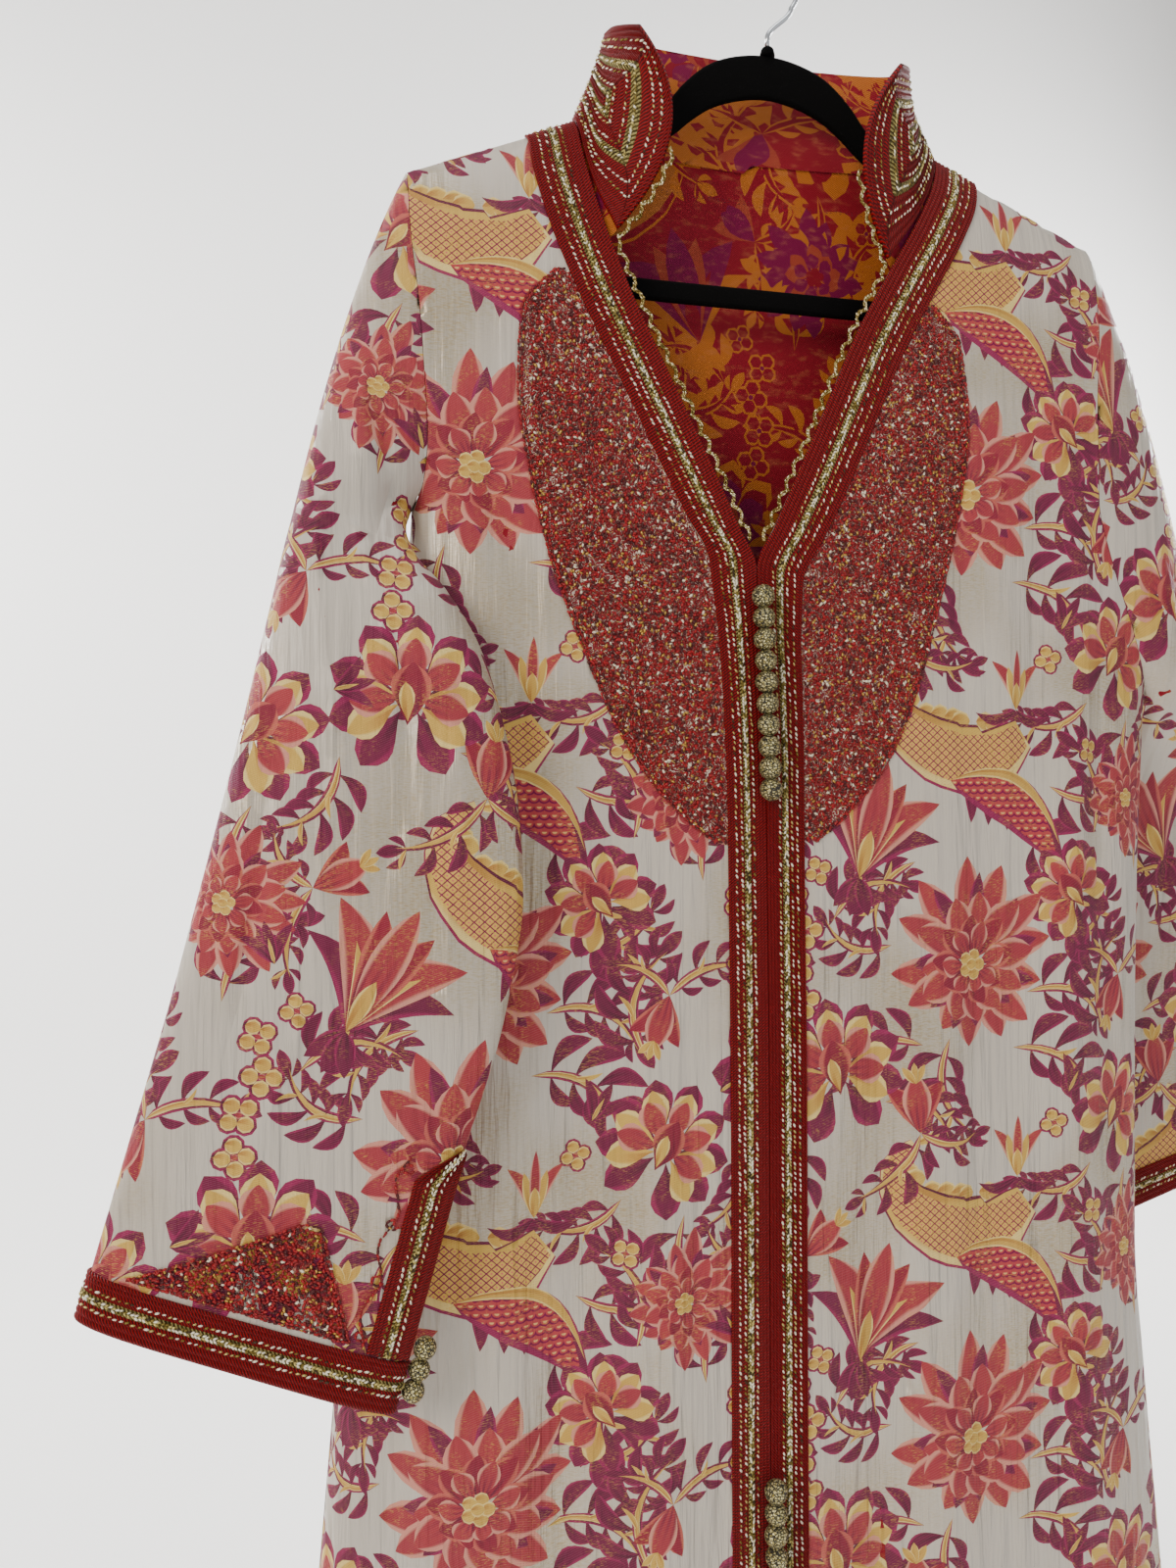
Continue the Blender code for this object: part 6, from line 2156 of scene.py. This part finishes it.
# Hanger: outer and inner outline of one half, from the middle out to the end and back
Rim = namedtuple("Rim", "out_x out_z in_x in_z")
HANGER = (
    Rim(0, -66, 0, -94),
    Rim(22, -69, 20, -97),
    Rim(41, -77, 38, -104),
    Rim(57, -91, 52, -114),
    Rim(70, -107, 62, -123),
    Rim(86, -119, 76, -133),
    Rim(108, -123.5, 98, -141),
    Rim(134, -130.2, 124, -151.5),
    Rim(180, -149.1, 168, -170),
    Rim(216, -163.9, 193, -182),
    Rim(226, -173, 197, -188),
    Rim(228, -184, 198, -195),
    Rim(224, -196, 197, -203),
    Rim(214, -208, 192, -210),
    Rim(196, -219, 184, -214.5),
    Rim(172, -226, 164, -216),
    Rim(130, -229.5, 126, -217),
    Rim(66, -231, 64, -217.5),
    Rim(0, -231, 0, -217.5),
)
HANGER_THICK = 5.0
HANGER_EDGE = 1.4
NUB_TOP_Z = -60.5
HOOK_WIRE = 3.4
CROOK_RADIUS = 21.0
RIM_STEPS = 5


def make_hanger():
    """Flat flocked frame, its socket and the wire hook."""
    half = np.array(HANGER, float)
    ring = np.concatenate([half, half[-2:0:-1] * [-1, 1, -1, 1]])
    t = np.arange(RIM_STEPS)[None, :, None] / RIM_STEPS
    p0, p1, p2, p3 = (np.roll(ring, k, axis=0)[:, None] for k in (1, 0, -1, -2))
    curve = 0.5 * (2 * p1 + (p2 - p0) * t + (2 * p0 - 5 * p1 + 4 * p2 - p3) * t ** 2
                   + (3 * p1 - p0 - 3 * p2 + p3) * t ** 3)
    curve = curve.reshape(-1, 4)
    outer = np.stack([curve[:, 0], curve[:, 1]], -1)
    inner = np.stack([curve[:, 2], curve[:, 3]], -1)
    across = unit(inner - outer)
    half_thick = HANGER_THICK / 2
    section = []
    for edge, sign in ((outer, 1), (inner, -1)):
        steps = np.linspace(-90, 90, 7) if sign > 0 else np.linspace(90, -90, 7)
        for angle in np.radians(steps):
            inset = HANGER_EDGE * 1.6 * (1 - math.cos(angle))
            y = half_thick * math.sin(angle)
            flat = edge + across * inset * sign
            section.append(np.stack([flat[:, 0], np.full(len(flat), y), flat[:, 1]], -1))
    grid = np.stack(section, axis=1)
    grid = np.concatenate([grid, grid[:, :1]], axis=1)
    grid = np.concatenate([grid, grid[:1]], axis=0)
    rows, columns = grid.shape[:2]
    middle = (outer + inner) / 2
    middle = np.stack([middle[:, 0], np.zeros(len(middle)), middle[:, 1]], -1)
    middle = np.concatenate([middle, middle[:1]])[:, None]
    points = grid.reshape(-1, 3)
    triangles = turned_with(points, grid_triangles(rows, columns), (grid - middle).reshape(-1, 3))
    item = mesh_from("hanger_velvet", points, triangles, [VELVET])
    hand_in(item, "velvet", "hanger")
    heights = [HANGER[0].out_z + GAP, NUB_TOP_Z - 1.5, NUB_TOP_Z - 0.4, NUB_TOP_Z]
    socket = tube("hook_socket_velvet", [(0, 0, z) for z in heights], [5.0, 4.2, 3.6, 2.6], VELVET,
                  24)
    hand_in(socket, "velvet", "hook_socket")
    wire = HOOK_WIRE / 2
    centre = np.array([0, 0, wire - CROOK_RADIUS])
    first = math.radians(-38)
    angles = np.linspace(first, math.radians(205), 60)
    crook = centre + CROOK_RADIUS * np.stack([np.cos(angles), 0 * angles, np.sin(angles)], -1)
    t = np.linspace(0, 1, 16)
    neck = np.stack([crook[0][0] * smooth(t), 0 * t, blend(-54.0, crook[0][2], t)], -1)
    path = np.concatenate([[(0, 0, NUB_TOP_Z + GAP)], neck, crook[1:]])
    hook = tube("hook_wire", path, wire, STEEL, 20)
    hand_in(hook, "steel", "hook")


# Cloth

def plain_cut(step=11.0):
    """A repeat without a pattern, for the inside of the cloth."""
    across = int(TILE_W / step)
    down = int(TILE_H / step)
    x, y = np.meshgrid(np.linspace(0, TILE_W, across + 1), np.linspace(0, TILE_H, down + 1),
                       indexing="ij")
    triangles = grid_triangles(across + 1, down + 1)
    count = len(triangles)
    return (np.stack([x.ravel(), y.ravel()], -1), triangles, np.zeros(count, int),
            np.zeros((count, 3, 3)), np.zeros(count))


class CollarPanel(Panel):
    """The inside of the collar, unrolled."""

    def __init__(self):
        self.length = COLLAR_HALF_LENGTH
        self.height = COLLAR_HEIGHT
        self.foot = -COLLAR_TUCK * self.height
        super().__init__((0, 1, 0), (-self.length, self.foot - 1), (self.length, self.height),
                         (40.0, 60.0))

    def settle(self, flat):
        return np.stack([np.clip(flat[:, 0], -self.length, self.length),
                         np.clip(flat[:, 1], self.foot, self.height)], -1)

    def points(self, flat, lift=0.0):
        up = flat[:, 1] / self.height
        base, normals = collar_frame(flat[:, 0] / self.length, up)
        tuck = np.clip(1 - up / 0.2, 0, 1)
        return base + normals * (lift - tuck)[:, None]


def cloth_piece(name, panels, cut, materials, lift=0.0, keep=None):
    """One object of woven cloth over one or more panels; a lift below zero is its inside."""
    found = []
    count = 0
    for panel in panels:
        flat, triangles, kinds, petals, tones = weave_panel(panel, cut)
        if keep:
            low, high = keep
            middle = flat[triangles].mean(axis=1)[:, 1]
            here = (middle > low) & (middle <= high)
            triangles, kinds, petals, tones = (a[here] for a in (triangles, kinds, petals, tones))
        points = panel.points(flat, lift)
        outward = panel.outward if lift >= 0 else -panel.outward
        if isinstance(panel, CollarPanel):
            outward = panel.points(flat, -2.0) - panel.points(flat, -1.0)
        turned = turned_with(points, triangles, outward)
        if turned is not triangles:
            petals = petals[:, ::-1]
        found.append((points, turned + count, kinds, petals, tones))
        count += len(points)
    points, triangles, kinds, petals, tones = (np.concatenate(column) for column in zip(*found))
    return mesh_from(name, points, triangles, materials, kinds, petals, tones)


# Stage and camera

def make_stage():
    floor_mesh = bpy.data.meshes.new("floor")
    reach = 4.0
    low = HEM_Z * MM - 0.12
    back = 2.6
    top = 3.2
    verts = [(-reach, -reach, low), (reach, -reach, low)]
    radius = 0.5
    bends = 10
    for n in range(bends + 1):
        a = math.pi / 2 * n / bends
        y = back - radius + radius * math.sin(a)
        z = low + radius - radius * math.cos(a)
        verts += [(-reach, y, z), (reach, y, z)]
    verts += [(-reach, back, top), (reach, back, top)]
    faces = [(2 * n, 2 * n + 1, 2 * n + 3, 2 * n + 2) for n in range(len(verts) // 2 - 1)]
    floor_mesh.from_pydata(verts, [], faces)
    floor_mesh.shade_smooth()
    floor = new_object("floor", floor_mesh)
    b = Build("plain_backdrop", 0.9)
    floor_mesh.materials.append(b.finish(srgb("#FBFAF8")))

    world = bpy.data.worlds.new("studio")
    bpy.context.scene.world = world
    world.use_nodes = True
    light = world.node_tree.nodes["Background"].inputs
    light["Color"].default_value = srgb("#FFFFFF")
    light["Strength"].default_value = 0.56

    Lamp = namedtuple("Lamp", "name x y z size power color")
    for lamp in (Lamp("key", -2.3, -1.7, 0.6, 1.3, 62.0, "#FFF6EA"),
                 Lamp("fill", 1.9, -2.2, -0.3, 2.0, 8.0, "#F2F6FF"),
                 Lamp("top", 0.1, -0.6, 1.5, 1.2, 14.0, "#FFFFFF"),
                 Lamp("wall right", 2.3, 1.2, 0.5, 1.0, 110.0, "#FFFFFF"),
                 Lamp("wall left", -2.3, 1.2, 0.5, 1.0, 110.0, "#FFFFFF")):
        data = bpy.data.lights.new(lamp.name, "AREA")
        data.size = lamp.size
        data.energy = lamp.power
        data.color = srgb(lamp.color)[:3]
        item = new_object(lamp.name, data)
        item.location = (lamp.x, lamp.y, lamp.z)
        aim = Vector((0, back if lamp.y > 0 else 0, -0.65)) - item.location
        item.rotation_euler = aim.to_track_quat("-Z", "Y").to_euler()


# The camera's place in metres, its turn to the viewer's right in degrees, and its lens
CAMERA_PLACE = (-0.2979, -0.7440, -0.5365)
CAMERA_TURN = -13.5
LENS = 28.125


def make_camera():
    data = bpy.data.cameras.new("camera")
    data.sensor_fit = "AUTO"
    data.sensor_width = 36.0
    data.lens = LENS
    data.dof.use_dof = False
    item = new_object("camera", data)
    item.location = CAMERA_PLACE
    item.rotation_euler = (math.radians(90), 0, math.radians(CAMERA_TURN))
    bpy.context.scene.camera = item


# The pieces

make_stage()
make_camera()
cut = cut_repeat(draw_repeat())
plainer_cut = cut_repeat(draw_repeat(0.8), 13.0, 0.25)
plain = plain_cut(13.0)
fine_plain = plain_cut(7.0)

INSIDE_LIFT = -1.8
SLEEVE_INSIDE_LIFT = -2.4
FRONT_RIGHT = BodyPanel(FRONT, RIGHT, (-330.0, -1545.0))
FRONT_LEFT = BodyPanel(FRONT, LEFT, (-8.0, -1545.0))
BACK_PANEL = BodyPanel(BACK, 0, (20.0, -1500.0), True)
SLEEVE_RIGHT_LAYERS = [SleevePanel(RIGHT, layer, (-420.0, -980.0), -16.0) for layer in (1, -1)]
SLEEVE_LEFT_LAYERS = [SleevePanel(LEFT, layer, (200.0, -980.0), 16.0) for layer in (1, -1)]
# Cut of each piece of cloth: across and down in metres, all round for a sleeve, and its area
# in square metres, without what the curves of the neck, armholes and flare leave away
Cut = namedtuple("Cut", "node panels width length area")
CUTS = (
    Cut("front_right", (FRONT_RIGHT,), 0.345, 1.41, 0.385),
    Cut("front_left", (FRONT_LEFT,), 0.345, 1.41, 0.385),
    Cut("back", (BACK_PANEL,), 0.69, 1.42, 0.80),
    Cut("sleeve_right", SLEEVE_RIGHT_LAYERS, 0.40, 0.66, 0.18),
    Cut("sleeve_left", SLEEVE_LEFT_LAYERS, 0.40, 0.66, 0.18),
)
SEEN_INSIDE_Z = -440.0
trims = {cut_row.node: [] for cut_row in CUTS}

for side in (RIGHT, LEFT):
    name = side_name(side)
    front_node = "front_band_" + name
    cuff_node = "cuff_band_" + name
    slit_node = "slit_band_" + name
    dashes = Stitches(90 + side)
    band = lay_braid(front_node, front_band(side), FORWARD, FRONT_BRAID, dashes)
    trims["front_" + name] += [band, sew_dashes(dashes, front_node, front_node),
                               make_plastron_ground(side), make_plastron(side)]

    dashes = Stitches(95 + side)
    ring = cuff_band(side)
    around = ring(0.5) - ring(0.5).mean(axis=0)
    cuff = lay_braid(cuff_node, ring, around[:, None], CUFF_BRAID, dashes)
    slit = lay_braid(slit_node, slit_band(side), sleeve_layers(side)[0].outward, CUFF_BRAID, dashes)
    trims["sleeve_" + name] += [cuff, slit, sew_dashes(dashes, cuff_node, cuff_node, slit_node),
                                make_medallion(side)]
    make_picot(side)

dashes = Stitches(101)
make_collar(dashes)
sew_dashes(dashes, "collar", "collar")
lining = cloth_piece("collar_reverse", (CollarPanel(),), plainer_cut, CLOTH_REVERSE, -COLLAR_HALF)
hand_in(lining, "brocade", "collar")

dashes = Stitches(102)
back_band = lay_braid("back_neck_band", back_neck_band(), np.array([0.0, 1.0, 0.4]), FRONT_BRAID,
                      dashes)
trims["back"] += [back_band, sew_dashes(dashes, "back_neck_band", "back_neck_band")]
# Two lines of sewing below the collar, seen inside the neck
seam = Stitches(103)
neck_z = neck_side(LEFT)[1]
x = np.linspace(-100, 84, 120)
for drop in (26.0, 27.4):
    line = body_points(BACK, x, np.full(120, neck_z - BACK_NECK_DROP - drop), -1.7)
    seam.along(line, FORWARD, 3.6, 2, "cord")
sewn = seam.build("back_neck_seam", SEAM_THREAD, SEAM_SIZE, 0.1)
trims["back"].append(hand_in(sewn, "brocade", "back"))
make_buttons()
make_hanger()

for row in CUTS:
    item = cloth_piece(row.node + "_cloth", row.panels,
                       plainer_cut if row.node == "back" else cut, CLOTH_FACE)
    hand_in(item, "brocade", row.node)
    is_sleeve = row.node.startswith("sleeve")
    inside = cloth_piece(row.node + "_inside", row.panels, fine_plain if is_sleeve else plain,
                         CLOTH_REVERSE, SLEEVE_INSIDE_LIFT if is_sleeve else INSIDE_LIFT,
                         (-2000.0, SEEN_INSIDE_Z) if row.node == "back" else None)
    trims[row.node].append(hand_in(inside, "brocade", row.node))
    if row.node == "back":
        seen = cloth_piece("back_inside_upper", row.panels, plainer_cut, CLOTH_REVERSE, INSIDE_LIFT,
                           (SEEN_INSIDE_Z, 0.0))
        trims[row.node].append(hand_in(seen, "brocade", row.node))
